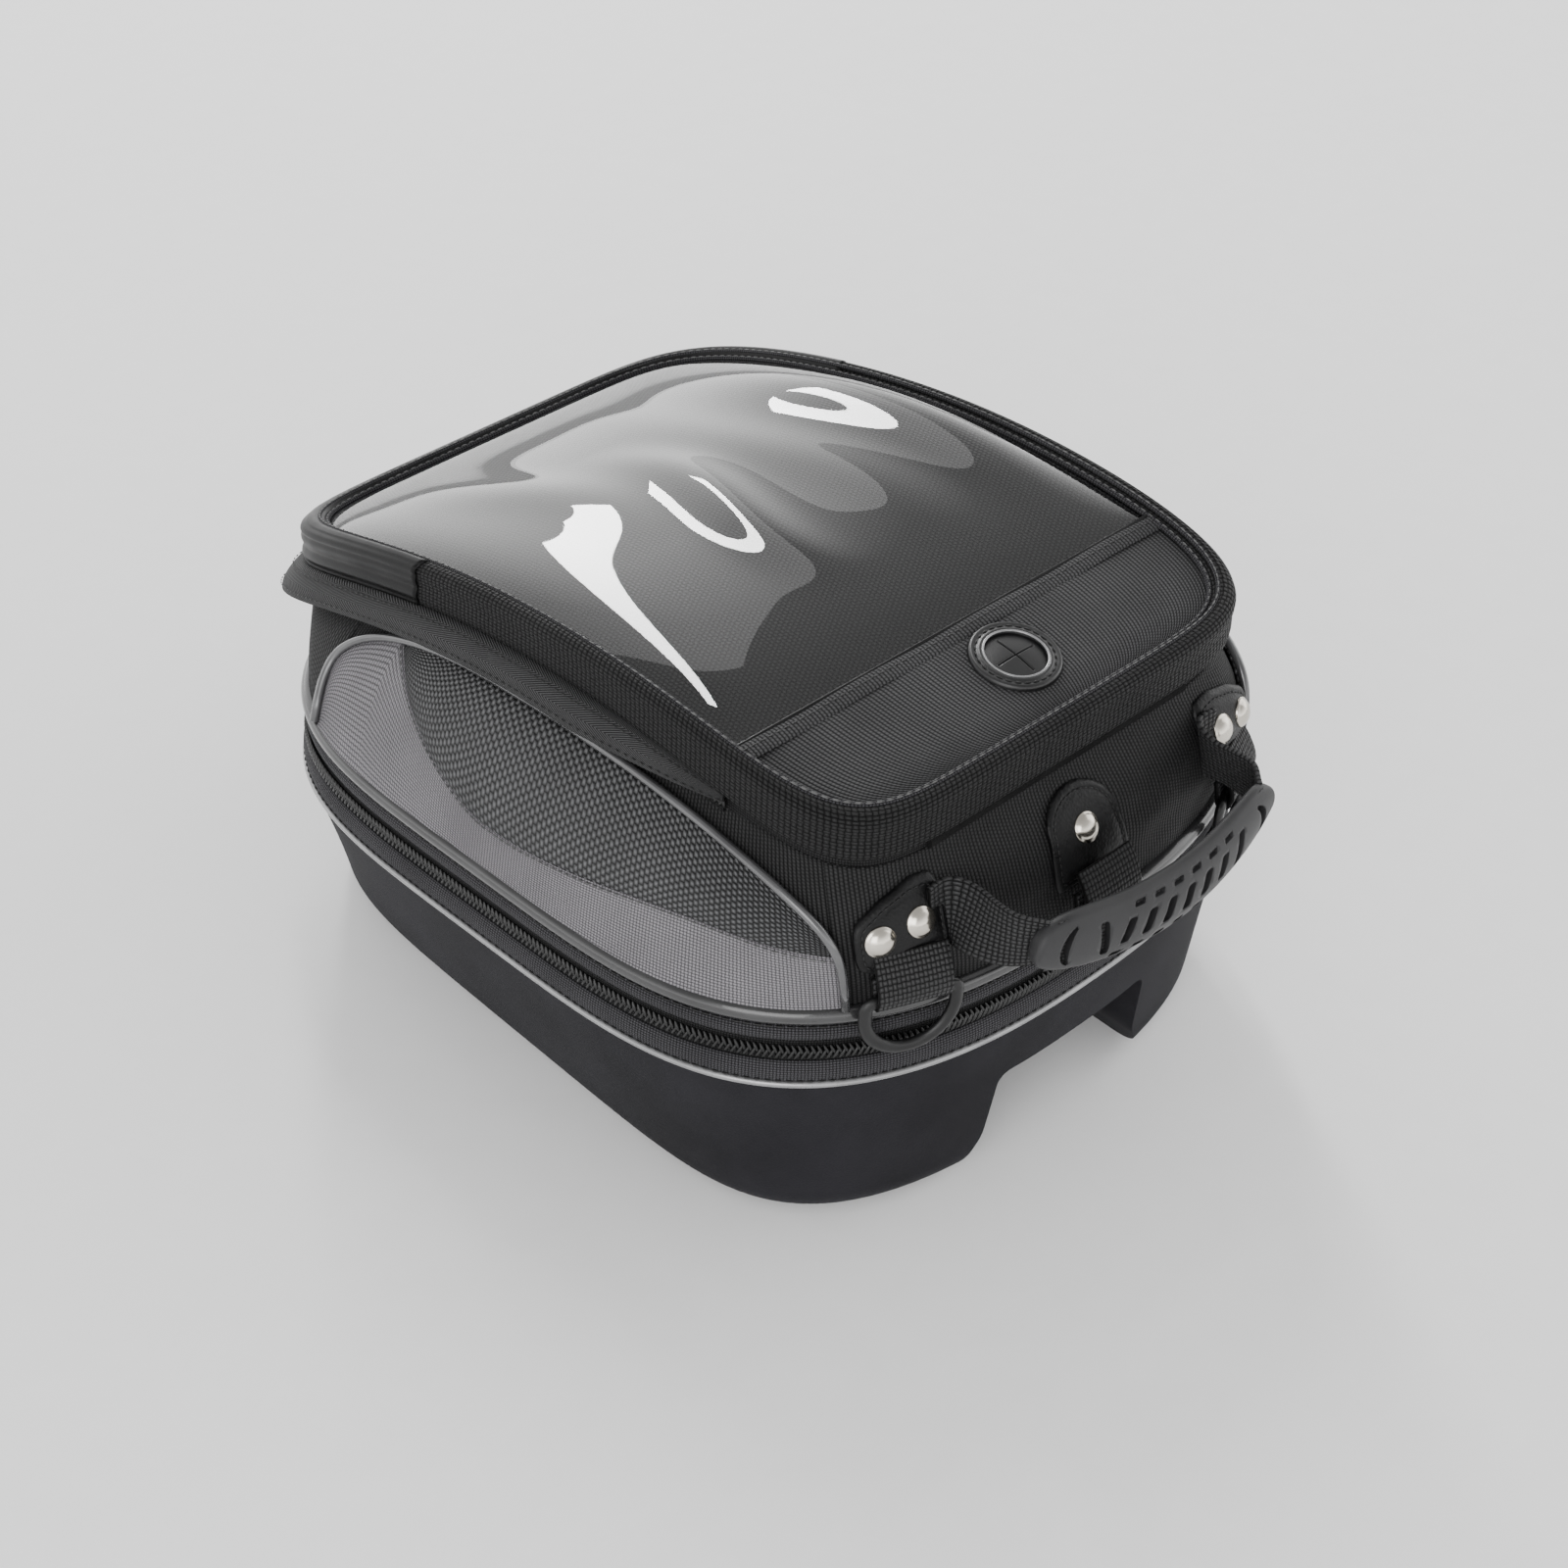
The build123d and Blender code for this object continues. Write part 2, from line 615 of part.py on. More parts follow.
def d_ring():
    bar = Cylinder(D_WIRE_R, 2 * D_HALF_WIDTH, rotation=(0, 90, 0))
    leg = Pos(0, 0, -D_LEG / 2) * Cylinder(D_WIRE_R, D_LEG)
    bow = Rot(90, 0, 0) * Torus(D_HALF_WIDTH, D_WIRE_R)
    below = Pos(0, 0, -D_HALF_WIDTH) * Box(4 * D_HALF_WIDTH, D_HALF_WIDTH, 2 * D_HALF_WIDTH)
    bow = bow & below
    ring = bar + Pos(0, 0, -D_LEG) * bow
    for sign in MIRRORED.values():
        ring = ring + Pos(sign * D_HALF_WIDTH, 0, 0) * (leg + Sphere(D_WIRE_R))
    return ring


def ring_loop():
    """Webbing folded round a D-ring's bar."""
    height = LOOP_TOP
    strap = Pos(0, 0, height / 2) * Box(LOOP_WIDTH, LOOP_THICKNESS, height)
    fold = Cylinder(LOOP_THICKNESS / 2, LOOP_WIDTH, rotation=(0, 90, 0))
    hole = Cylinder(D_WIRE_R + CLEAR, LOOP_WIDTH, rotation=(0, 90, 0))
    return strap + fold - hole


def ring_parts():
    parts = {}
    for name, shift in (("left", -CORNER_STATION), ("right", CORNER_STATION), ("middle", 0.0)):
        parts[f"{name}_d_ring"] = ring_place(shift) * d_ring()
        parts[f"{name}_ring_loop"] = ring_place(shift) * ring_loop()
    return parts


# --- Handle ---

def grip_point(share):
    """Middle line of the grip: it bows away from the bag and sags, share -1 to 1 along it."""
    y = GRIP_END_Y - GRIP_BOW * (1 - share**2)
    return GRIP_HALF_LENGTH * share, y, BASE_DEPTH + GRIP_Z - GRIP_SAG * (1 - share**2)


def handle_grip():
    steps = 8
    shares = [2 * i / steps - 1 for i in range(steps + 1)]
    rails = []
    for depth, rise in ((-1, -1), (-1, 1), (1, 1), (1, -1)):
        rails.append([])
        for share in shares:
            x, y, z = grip_point(share)
            width = GRIP_WIDTH * (1 - GRIP_END_TAPER * share**4)
            rails[-1].append((x, y + depth * GRIP_THICKNESS / 2, z + rise * width / 2))
    return skin(rails, closed=False)


def handle_straps():
    """Webbing from each end of the grip back to the corner patch."""
    straps = []
    for sign in MIRRORED.values():
        ends = []
        grip_end = GRIP_HALF_LENGTH + STRAP_OVERLAP, GRIP_END_Y + STRAP_OVERLAP
        for x, y in (grip_end, (STRAP_ROOT_X, STRAP_ROOT_Y)):
            middle = Vector(sign * x, y, BASE_DEPTH + GRIP_Z)
            ends.append(Plane(origin=middle, x_dir=(1, 0, 0), z_dir=(0, 1, 0)))
        sections = [end * Rectangle(STRAP_THICKNESS, STRAP_WIDTH) for end in ends]
        straps.append(loft(sections, ruled=True).solids()[0])
    return Part() + straps


# --- Zip sliders and their pull tabs ---

def slider_at(x, y, z, height):
    return Pos(x, y + SLIDER_THICKNESS / 2, z) * Box(SLIDER_LENGTH, SLIDER_THICKNESS, height)


def pull_at(x, y, z):
    """Pull tab with a round pin at its top, which it hangs from."""
    tab = Pos(0, 0, -PULL_LENGTH / 2) * Box(PULL_WIDTH, PULL_THICKNESS, PULL_LENGTH)
    pin = Cylinder(PULL_THICKNESS / 2, PULL_WIDTH, rotation=(0, 90, 0))
    return Pos(x, y, z) * (tab + pin)


def slider_parts():
    rear = LID.centre_y + LID.half_length
    coil = BASE_DEPTH + lid_height(MAIN_SLIDER_DROP)(rear)
    parts = {}
    for side, sign in MIRRORED.items():
        x = sign * MAIN_SLIDER_X
        parts[f"{side}_main_slider"] = slider_at(x, rear + MAIN_SLIDER_OUT, coil, MAIN_SLIDER_HEIGHT)
        parts[f"{side}_main_pull"] = pull_at(x, rear + MAIN_PULL_OUT, coil - MAIN_PULL_DROP)
    seam_rear = SEAM.half_length
    coil = BASE_DEPTH + EXPANSION_SLIDER_RISE
    slider_y, pull_y = seam_rear + EXPANSION_SLIDER_OUT, seam_rear + EXPANSION_PULL_OUT
    parts["expansion_slider"] = slider_at(0, slider_y, coil, EXPANSION_SLIDER_HEIGHT)
    parts["expansion_pull"] = pull_at(0, pull_y, coil - EXPANSION_PULL_DROP)
    return parts


# --- All parts ---

def all_parts():
    parts = {
        "base_shell": base_shell(),
        "lining_mats": lining_mats(),
        "mounting_ring": mounting_ring(),
        "mounting_screws": mounting_screws(),
        "hinge_bead": hinge_bead(),
        "rivets": rivets(),
        "handle_grip": handle_grip(),
        "handle_straps": handle_straps(),
    }
    for group in (zip_band_parts, body_wall_parts, lid_parts, patch_parts, ring_parts, slider_parts):
        parts.update(group())
    return parts


def main():
    os.makedirs("parts", exist_ok=True)
    for name, shape in all_parts().items():
        export_step(Pos(0, SHELL_Y, 0) * shape, f"parts/{name}.step")


main()
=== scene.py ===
"""Looks of the tank bag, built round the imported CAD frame.

Lengths are in millimetres, about the middle of the shell at floor height, until a mesh is made.
"""
import math
from collections import namedtuple
from functools import lru_cache

import bmesh
import bpy
import numpy as np
from mathutils import Matrix, Vector


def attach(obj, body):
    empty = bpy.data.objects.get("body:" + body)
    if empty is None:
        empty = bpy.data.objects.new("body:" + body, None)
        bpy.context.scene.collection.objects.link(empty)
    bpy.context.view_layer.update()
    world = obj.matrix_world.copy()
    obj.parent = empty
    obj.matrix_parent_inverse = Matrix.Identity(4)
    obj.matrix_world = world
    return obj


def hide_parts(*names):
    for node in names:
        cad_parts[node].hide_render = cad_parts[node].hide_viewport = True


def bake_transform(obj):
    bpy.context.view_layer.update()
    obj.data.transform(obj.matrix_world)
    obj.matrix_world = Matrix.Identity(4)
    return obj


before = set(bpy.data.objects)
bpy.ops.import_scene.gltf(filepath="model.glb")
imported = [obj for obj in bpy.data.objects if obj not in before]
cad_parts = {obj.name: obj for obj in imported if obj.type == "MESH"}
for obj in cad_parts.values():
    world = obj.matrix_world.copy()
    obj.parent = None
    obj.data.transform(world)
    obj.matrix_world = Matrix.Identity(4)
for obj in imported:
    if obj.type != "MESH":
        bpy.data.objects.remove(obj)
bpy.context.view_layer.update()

MM = 0.001
SHELL_Y = 9.15  # the shell's middle lies this far behind the frame's origin
UV = "weave"

# --- Driving dimensions, as in the CAD part ---

Outline = namedtuple("Outline", "half_width half_length side_power end_power taper centre_y")
SEAM = Outline(135.0, 152.0, 2.45, 4.0, 0.02, 0.0)
BAND_TOP = Outline(131.7, 148.7, 2.45, 4.0, 0.02, 0.0)
LID = Outline(96.5, 142.0, 7.0, 7.0, -0.03, 13.0)
QUARTER = 12
REAR, FRONT, ROUND = 12, 36, 48
FINE = 721
BISECTIONS = 45
BASE_DEPTH = 68.0
BAND_HEIGHT = 27.0
WALL_FOOT = 30.5
WALL_RIM_GROW = 1.5
WALL_RIM_DROP = 22.0
WALL_BULGE = 5.5
BULGE_SHARE = 0.6
TALL_WALL = 50.0
LID_HEIGHT, LID_SLOPE, LID_CURVE = 102.5, -0.12, -0.0012
ZIP_SPAN = 17.0
WINDOW_SEAM_Y = -83.0
PORT_X, PORT_Y = 5.0, -103.0
GRIP_HALF_LENGTH, GRIP_END_Y, GRIP_BOW, GRIP_Z, GRIP_SAG = 56.0, -171.0, 8.5, 128.0, 7.0
GRIP_WIDTH, GRIP_THICKNESS = 24.0, 6.5
CORNER_STATION = 3.9
D_HALF_WIDTH, D_LEG, D_BAR_Z, D_OUT = 15.5, 6.0, 36.0, 6.0
HINGE_Y = LID.centre_y - LID.half_length + 0.5
LID_REAR_EDGE = LID.centre_y + LID.half_length - 1.6
LID_FRONT_EDGE = LID.centre_y - LID.half_length + 1.6

# --- Dimensions of the sewn details ---

CLOTH_LEVEL = -0.6  # the lid's flat cloth, measured from the lid's curve
HEM_WAVE = 0.25
SEAM_PIPING_R, THICK_PIPING_R, ARCH_PIPING_R = 1.25, 3.2, 1.55
TOOTH_PITCH = 2.0
TOOTH_SIZE = (4.6, 1.25, 1.9)
TOOTH_SLANT = math.radians(62)
HALF_TOOTH = 0.055  # in stations, so that facing rows of teeth mesh
INSERT_START, SIDE_STEP = 20.62, 0.06  # in stations
UPWARDS = (0, 0, 1)


@lru_cache(maxsize=None)
def quarter(outline, grow):
    """First quarter of an outline as x, y and stations, evenly spread along its length."""
    angle = np.linspace(0, math.pi / 2, FINE)
    width, length = outline.half_width + grow, outline.half_length + grow
    low, high = np.zeros(FINE), np.full(FINE, width + length)
    for _ in range(BISECTIONS):
        middle = (low + high) / 2
        reach = (middle * np.cos(angle) / width) ** outline.side_power
        reach = reach + (middle * np.sin(angle) / length) ** outline.end_power
        low, high = np.where(reach > 1, low, middle), np.where(reach > 1, middle, high)
    x, y = low * np.cos(angle), low * np.sin(angle)
    reached = np.concatenate([[0], np.cumsum(np.hypot(np.diff(x), np.diff(y)))])
    return x, y, reached / reached[-1] * QUARTER


def ring(outline, grow, station):
    """x and y of an outline, grown outwards, at stations counted right round it."""
    station = np.asarray(station, float) % ROUND
    part = np.floor(station / QUARTER).astype(int)
    place = station - QUARTER * part
    place = np.where(part % 2 == 1, QUARTER - place, place)
    xs, ys, reached = quarter(outline, grow)
    x, y = np.interp(place, reached, xs), np.interp(place, reached, ys)
    x = np.where((part == 1) | (part == 2), -x, x)
    y = np.where(part >= 2, -y, y)
    return x * (1 + outline.taper * y / outline.half_length), y + outline.centre_y


def lid_z(y, drop=0.0):
    """Height of the lid's curve at y, or of a line that far below it."""
    reach = y - LID.centre_y
    return BASE_DEPTH + LID_HEIGHT + LID_SLOPE * reach + LID_CURVE * reach**2 - drop


def lid_point(grow, drop, station):
    """Points on the lid's outline, grown outwards and dropped below the lid's curve."""
    x, y = ring(LID, grow, station)
    return np.stack([x, y, lid_z(y, drop)], -1)


def band_point(grow, z, station, outline=SEAM):
    """Points on the zip band's outline, at a height above the seam."""
    x, y = ring(outline, grow, station)
    return np.stack([x, y, np.full_like(x, BASE_DEPTH + z)], -1)


def flat_wall(share, grow, station):
    """Points on the unstuffed body wall, with its height there."""
    low = band_point(grow, WALL_FOOT, station, BAND_TOP)
    high = lid_point(grow + WALL_RIM_GROW, WALL_RIM_DROP, station)
    share = np.asarray(share, float)[..., None]
    return low + (high - low) * share, high[..., 2] - low[..., 2]


def wall_point(share, out, station):
    """Points on the stuffed body wall, out in front of it, at shares of its height."""
    share = np.broadcast_to(np.asarray(share, float), np.shape(station))
    bulge = np.minimum(share / BULGE_SHARE, (1 - share) / (1 - BULGE_SHARE)).clip(0, 1)
    bulge = np.sin(bulge * math.pi / 2)
    near, height = flat_wall(share, out, station)
    far, _ = flat_wall(share, out + WALL_BULGE, station)
    return near + (far - near) * (bulge * np.minimum(1, height / TALL_WALL))[..., None]


def span(start, stop, step=0.12):
    """Stations from start to stop, about a step apart."""
    return np.linspace(start, stop, max(2, int(round((stop - start) / step)) + 1))


ALL_ROUND = span(0, ROUND)


# --- Meshes ---

def placed(name, data):
    """New object for some data, linked into the scene."""
    thing = bpy.data.objects.new(name, data)
    bpy.context.scene.collection.objects.link(thing)
    return thing


def unit(vectors):
    """Vectors scaled to a length of one."""
    return vectors / np.linalg.norm(vectors, axis=-1, keepdims=True)


def lengths(points):
    """Real lengths along and across an array of points, as UV."""
    along = np.linalg.norm(np.diff(points, axis=1), axis=2).mean(0)
    across = np.linalg.norm(np.diff(points, axis=0), axis=2).mean(1)
    u, v = (np.concatenate([[0], np.cumsum(d)]) for d in (along, across))
    return np.stack(np.broadcast_arrays(u[None, :], v[:, None]), -1)


def make_mesh(name, points, faces, uv=None):
    """Mesh object in metres in the frame, with one UV pair for each face corner."""
    mesh = bpy.data.meshes.new(name)
    in_frame = (np.asarray(points, float).reshape(-1, 3) + (0, SHELL_Y, 0)) * MM
    mesh.from_pydata(in_frame.tolist(), [], faces.tolist())
    if uv is not None:
        layer = mesh.uv_layers.new(name=UV)
        layer.data.foreach_set("uv", np.asarray(uv, np.float32).ravel())
    mesh.shade_smooth()
    return placed(name, mesh)


def surface(name, points, wrap_along=False, wrap_across=False, thickness=0.0, inside=None):
    """Quad mesh through rows of points. It faces away from inside, a point in its middle."""
    points = np.asarray(points, float)
    rows, columns = points.shape[:2]
    uv = lengths(points)
    used_rows, used_columns = rows - wrap_across, columns - wrap_along
    i, j = np.meshgrid(np.arange(rows - 1), np.arange(columns - 1), indexing="ij")
    corners = [(i, j), (i, j + 1), (i + 1, j + 1), (i + 1, j)]
    if inside is None and not wrap_across:
        inside = (0, 0, BASE_DEPTH)
    if inside is not None:
        a, b = points[:-1, 1:] - points[:-1, :-1], points[1:, :-1] - points[:-1, :-1]
        facing = (np.cross(a, b) * (points[:-1, :-1] - np.asarray(inside, float))).sum()
        corners = corners if facing > 0 else corners[::-1]
    faces = np.stack([(r % used_rows) * used_columns + c % used_columns for r, c in corners], -1)
    loops = np.stack([uv[r, c] for r, c in corners], 2)
    kept = points[:used_rows, :used_columns]
    thing = make_mesh(name, kept, faces.reshape(-1, 4), loops)
    if inside is None:
        face_out(thing)
    if thickness:
        solid = thing.modifiers.new("thickness", "SOLIDIFY")
        solid.thickness = thickness * MM
        solid.offset = -1
        solid.use_rim = True
    return thing


def face_out(thing, close=False):
    """Turns a mesh's faces outwards, once its open ends are closed if that is asked."""
    work = bmesh.new()
    work.from_mesh(thing.data)
    if close:
        bmesh.ops.holes_fill(work, edges=[e for e in work.edges if e.is_boundary])
    bmesh.ops.recalc_face_normals(work, faces=work.faces)
    work.to_mesh(thing.data)
    work.free()


def directions(path, closed):
    """Unit directions along a path."""
    if closed:
        step = np.roll(path, -1, 0) - np.roll(path, 1, 0)
    else:
        step = np.gradient(path, axis=0)
    return unit(step)


def tube(name, path, radius, closed=False, up=UPWARDS, sides=12, flat=1.0):
    """Round or flattened cord along a path. A closed path doesn't repeat its first point."""
    path = np.asarray(path, float)
    along = directions(path, closed)
    side = unit(np.cross(along, up))
    rise = np.cross(side, along)
    radius = np.broadcast_to(np.asarray(radius, float), len(path))
    rows = []
    for angle in np.linspace(0, 2 * math.pi, sides + 1):
        out = side * math.cos(angle) * flat + rise * math.sin(angle)
        rows.append(path + out * radius[:, None])
    rows = np.array(rows)
    if closed:
        rows = np.concatenate([rows, rows[:, :1]], 1)
    thing = surface(name, rows, wrap_along=closed, wrap_across=True)
    if not closed:
        face_out(thing, close=True)
    return thing


def even(path, pitch, closed=False):
    """Points every pitch along a path, with the directions there."""
    path = np.asarray(path, float)
    if closed:
        path = np.concatenate([path, path[:1]])
    reached = np.concatenate([[0], np.cumsum(np.linalg.norm(np.diff(path, axis=0), axis=1))])
    count = max(2, int(round(reached[-1] / pitch)))
    at = (np.arange(count) + (0 if closed else 0.5)) / count * reached[-1]

    def spots(at):
        return np.stack([np.interp(at, reached, path[:, k]) for k in range(3)], -1)

    return spots(at), unit(spots(at + 0.2) - spots(at - 0.2))


def repeated(name, shape, faces, points, along, out):
    """Copies of one small shape, whose axes are along, up and out, at points with those axes."""
    out = np.broadcast_to(np.asarray(out, float), points.shape)
    out = unit(out - (out * along).sum(1, keepdims=True) * along)
    up = np.cross(out, along)
    axes = np.stack([along, up, out], 1)
    copies = np.einsum("vk,nkc->nvc", shape, axes) + points[:, None]
    shift = (np.arange(len(points)) * len(shape))[:, None, None]
    thing = make_mesh(name, copies, (faces[None] + shift).reshape(-1, faces.shape[1]))
    face_out(thing)
    return thing


def bead_shape(length, width, height, rings=5, sides=6):
    """Small rounded bead, longest along its first axis."""
    t = np.linspace(-1, 1, rings)
    angle = np.arange(sides) / sides * 2 * math.pi
    swell = np.sqrt(1 - (0.97 * t) ** 2)[:, None]
    x = np.broadcast_to(t[:, None] * length / 2, (rings, sides))
    shape = np.stack([x, swell * np.cos(angle) * width / 2, swell * np.sin(angle) * height / 2], -1)
    return shape.reshape(-1, 3), strip_faces(rings, sides)


def strip_faces(rings, sides):
    """Quads between neighbouring rings of points."""
    r, k = np.divmod(np.arange((rings - 1) * sides), sides)
    here, beside = r * sides + k, r * sides + (k + 1) % sides
    return np.stack([here, beside, beside + sides, here + sides], -1)


# --- Materials ---

def rgba(colour):
    """Colour with full cover. A single number is a neutral grey."""
    return (colour, colour, colour, 1) if isinstance(colour, float) else (*colour, 1)


class Finish:
    """Procedural material: short calls that wire nodes to one Principled shader."""

    def __init__(self, name, **sockets):
        self.material = bpy.data.materials.new(name)
        self.material.use_nodes = True
        self.tree = self.material.node_tree
        self.shader = self.tree.nodes["Principled BSDF"]
        for socket, value in sockets.items():
            self.shader.inputs[socket.replace("_", " ")].default_value = value

    def node(self, kind, feed=(), **settings):
        """New node with settings, its inputs fed by other nodes or by plain values."""
        made = self.tree.nodes.new(kind)
        for key, value in settings.items():
            setattr(made, key, value)
        for socket, value in dict(feed).items():
            self.link(value, made.inputs[socket])
        return made

    def link(self, value, socket):
        if hasattr(value, "is_output"):
            self.tree.links.new(value, socket)
        else:
            socket.default_value = value

    def math(self, operation, *values):
        return self.node("ShaderNodeMath", enumerate(values), operation=operation).outputs[0]

    def threads(self):
        """Millimetres along and across the cloth."""
        uv = self.node("ShaderNodeUVMap", uv_map=UV).outputs[0]
        return self.node("ShaderNodeSeparateXYZ", {0: uv}).outputs[:2]

    def place(self):
        """Place in the frame's own metres."""
        return self.node("ShaderNodeTexCoord").outputs["Object"]

    def noise(self, scale, detail, stretch=(1, 1, 1)):
        spot = self.node("ShaderNodeMapping", {"Vector": self.place(), "Scale": stretch}).outputs[0]
        feed = {"Vector": spot, "Scale": scale, "Detail": detail}
        return self.node("ShaderNodeTexNoise", feed).outputs[0]

    def span(self, value, low, high, first=0.0, last=1.0):
        """Value carried over from between first and last to between low and high."""
        return self.node("ShaderNodeMapRange", enumerate((value, first, last, low, high))).outputs[0]

    def colour(self, share, low, high):
        """Mix of two colours: the node's colour sockets are 6, 7 and, going out, 2."""
        feed = {0: share, 6: rgba(low), 7: rgba(high)}
        mixed = self.node("ShaderNodeMix", feed, data_type="RGBA").outputs[2]
        self.link(mixed, self.shader.inputs["Base Color"])

    def rough(self, share, low, high):
        self.link(self.span(share, low, high), self.shader.inputs["Roughness"])

    def bump(self, height, depth, under=None):
        """Relief with a depth in millimetres, on top of another if one is given."""
        feed = {"Distance": depth * MM, "Height": height}
        if under is not None:
            feed["Normal"] = under
        made = self.node("ShaderNodeBump", feed).outputs[0]
        self.link(made, self.shader.inputs["Normal"])
        return made

    def hump(self, value):
        """One rounded hump for each whole step of value."""
        return self.math("SINE", self.math("MULTIPLY", self.math("FRACT", value), math.pi))

    def odd(self, value):
        return self.math("FLOORED_MODULO", self.math("FLOOR", value), 2.0)

    def plain_weave(self, pitch_u, pitch_v):
        """Threads that pass over and under each other."""
        u, v = self.threads()
        a, b = self.math("DIVIDE", u, pitch_u), self.math("DIVIDE", v, pitch_v)
        across, along = self.hump(a), self.hump(b)
        soft_across, soft_along = self.math("POWER", across, 0.35), self.math("POWER", along, 0.35)
        over = self.math("MULTIPLY", across, soft_along)
        under = self.math("MULTIPLY", along, soft_across)
        turn = self.math("ABSOLUTE", self.math("SUBTRACT", self.odd(a), self.odd(b)))
        return self.math("ADD", self.math("MULTIPLY", over, turn),
                         self.math("MULTIPLY", under, self.math("SUBTRACT", 1.0, turn)))

    def ribs(self, pitch_u, pitch_v, depth=0.5):
        """Ribs across the cloth, each a row of short humps set off from its neighbours'."""
        u, v = self.threads()
        a = self.math("DIVIDE", u, pitch_u)
        shift = self.math("MULTIPLY", self.odd(a), 0.5)
        shifted = self.math("ADD", self.math("DIVIDE", v, pitch_v), shift)
        dots = self.math("ADD", self.math("MULTIPLY", self.hump(shifted), depth), 1 - depth)
        return self.math("MULTIPLY", self.hump(a), dots)

    def twill(self, pitch, column):
        """Slanted ribs that turn back in each column, as in herringbone tape."""
        u, v = self.threads()
        fold = self.math("SUBTRACT", self.math("FRACT", self.math("DIVIDE", v, column)), 0.5)
        slant = self.math("MULTIPLY", self.math("ABSOLUTE", fold), 2 * column)
        return self.hump(self.math("DIVIDE", self.math("ADD", u, slant), pitch))


def cloth(name, height, depth, low, high, rough=(0.75, 0.5), fuzz=0.02, specular=0.22, drift=0.12):
    """Woven cloth. height makes its threads from a Finish. The colour runs from low in the gaps to high on
    the threads' tops: painted shade in the gaps and painted highlight on the tops, mixed with random wear and
    lint.
    """
    f = Finish(name, Specular_IOR_Level=specular, Sheen_Weight=fuzz, Sheen_Roughness=0.4)
    threads = height(f)
    worn = f.span(f.noise(38.0, 4.0), 1 - drift, 1 + drift, 0.3, 0.7)
    lint = f.span(f.noise(2200.0, 1.0), -0.05, 0.05)
    # Painted shade in the gaps between threads and painted highlight on their tops, times random wear, plus
    # lint.
    painted_shade_and_wear = f.math("ADD", f.math("MULTIPLY", threads, worn), lint)
    f.colour(painted_shade_and_wear, low, high)
    f.rough(painted_shade_and_wear, *rough)
    f.bump(threads, depth)
    return f.material


def gloss(name, low, high, rough=(0.22, 0.36), grain=900.0, depth=0.03, coat=0.0, metal=0.0,
          specular=0.5):
    """Smooth plastic, rubber, leather or metal with fine grain and uneven polish."""
    f = Finish(name, Coat_Weight=coat, Metallic=metal, Specular_IOR_Level=specular)
    patches = f.span(f.noise(60.0, 5.0), 0.0, 1.0, 0.3, 0.7)
    f.colour(patches, low, high)
    f.rough(patches, *rough)
    f.bump(f.noise(grain, 3.0), depth)
    return f.material


def grained_leather(name):
    f = Finish(name, Specular_IOR_Level=0.2)
    cells = f.node("ShaderNodeTexVoronoi", {"Vector": f.place(), "Scale": 950.0})
    patches = f.span(f.noise(90.0, 4.0), 0.0, 1.0, 0.35, 0.65)
    f.colour(patches, (0.0030, 0.0030, 0.0032), (0.0075, 0.0075, 0.0078))
    f.rough(patches, 0.34, 0.5)
    fine = f.bump(f.noise(1800.0, 3.0), 0.05)
    f.bump(cells.outputs["Distance"], 0.12, under=fine)
    return f.material


def clear_sheet(name):
    """Clear soft sheet: it mirrors by Fresnel and lets the rest through."""
    f = Finish(name)
    f.tree.nodes.remove(f.shader)
    smear = f.span(f.noise(45.0, 4.0), 0.0, 0.03, 0.35, 0.7)
    through = f.node("ShaderNodeBsdfTransparent", {0: (0.93, 0.93, 0.925, 1)})
    mirror = f.node("ShaderNodeBsdfGlossy", {"Color": (1, 1, 1, 1), "Roughness": smear})
    share = f.node("ShaderNodeFresnel", {"IOR": 1.62})
    mix = f.node("ShaderNodeMixShader", enumerate(made.outputs[0] for made in (share, through, mirror)))
    f.link(mix.outputs[0], f.tree.nodes["Material Output"].inputs["Surface"])
    return f.material


def pressed_foam(name):
    f = Finish(name, Specular_IOR_Level=0.12, Sheen_Weight=0.03, Sheen_Roughness=0.4)
    knit = f.noise(1500.0, 2.0, stretch=(1, 1, 2.5))
    nap = f.span(f.noise(26.0, 4.0), 0.0, 1.0, 0.35, 0.65)
    f.colour(f.math("ADD", f.math("MULTIPLY", nap, 0.5), f.math("MULTIPLY", knit, 0.5)),
             (0.0060, 0.0058, 0.0072), (0.0170, 0.0165, 0.0200))
    f.rough(knit, 0.72, 0.92)
    f.bump(knit, 0.22)
    return f.material


# Each cloth's colours run from its first, darkened by painted shade in the gaps between threads or beads, to
# its second, lightened by painted highlight on their tops.
NYLON = cloth("ballistic_nylon", lambda f: f.ribs(1.5, 1.2), 0.35, 0.0012, (0.066, 0.066, 0.068),
              specular=0.1)
WALL_NYLON = cloth("wall_nylon", lambda f: f.ribs(1.5, 1.2), 0.3, 0.001, (0.030, 0.030, 0.0305),
                   specular=0.1)
FINE_NYLON = cloth("fine_nylon", lambda f: f.plain_weave(0.95, 0.95), 0.25, 0.0012, (0.022, 0.022, 0.0225),
                   specular=0.1)
COARSE = cloth("coarse_weave", lambda f: f.plain_weave(2.1, 1.3), 0.6, 0.0006, (0.024, 0.024, 0.0243),
               rough=(0.7, 0.45), specular=0.08)
ROUGH_TAPE = cloth("rough_tape", lambda f: f.plain_weave(1.1, 0.85), 0.35, 0.001, (0.060, 0.059, 0.064),
                   specular=0.1)
GREY = cloth("grey_weave", lambda f: f.plain_weave(1.25, 1.05), 0.3, (0.026, 0.0245, 0.0265),
             (0.235, 0.226, 0.242), rough=(0.62, 0.45), specular=0.25)
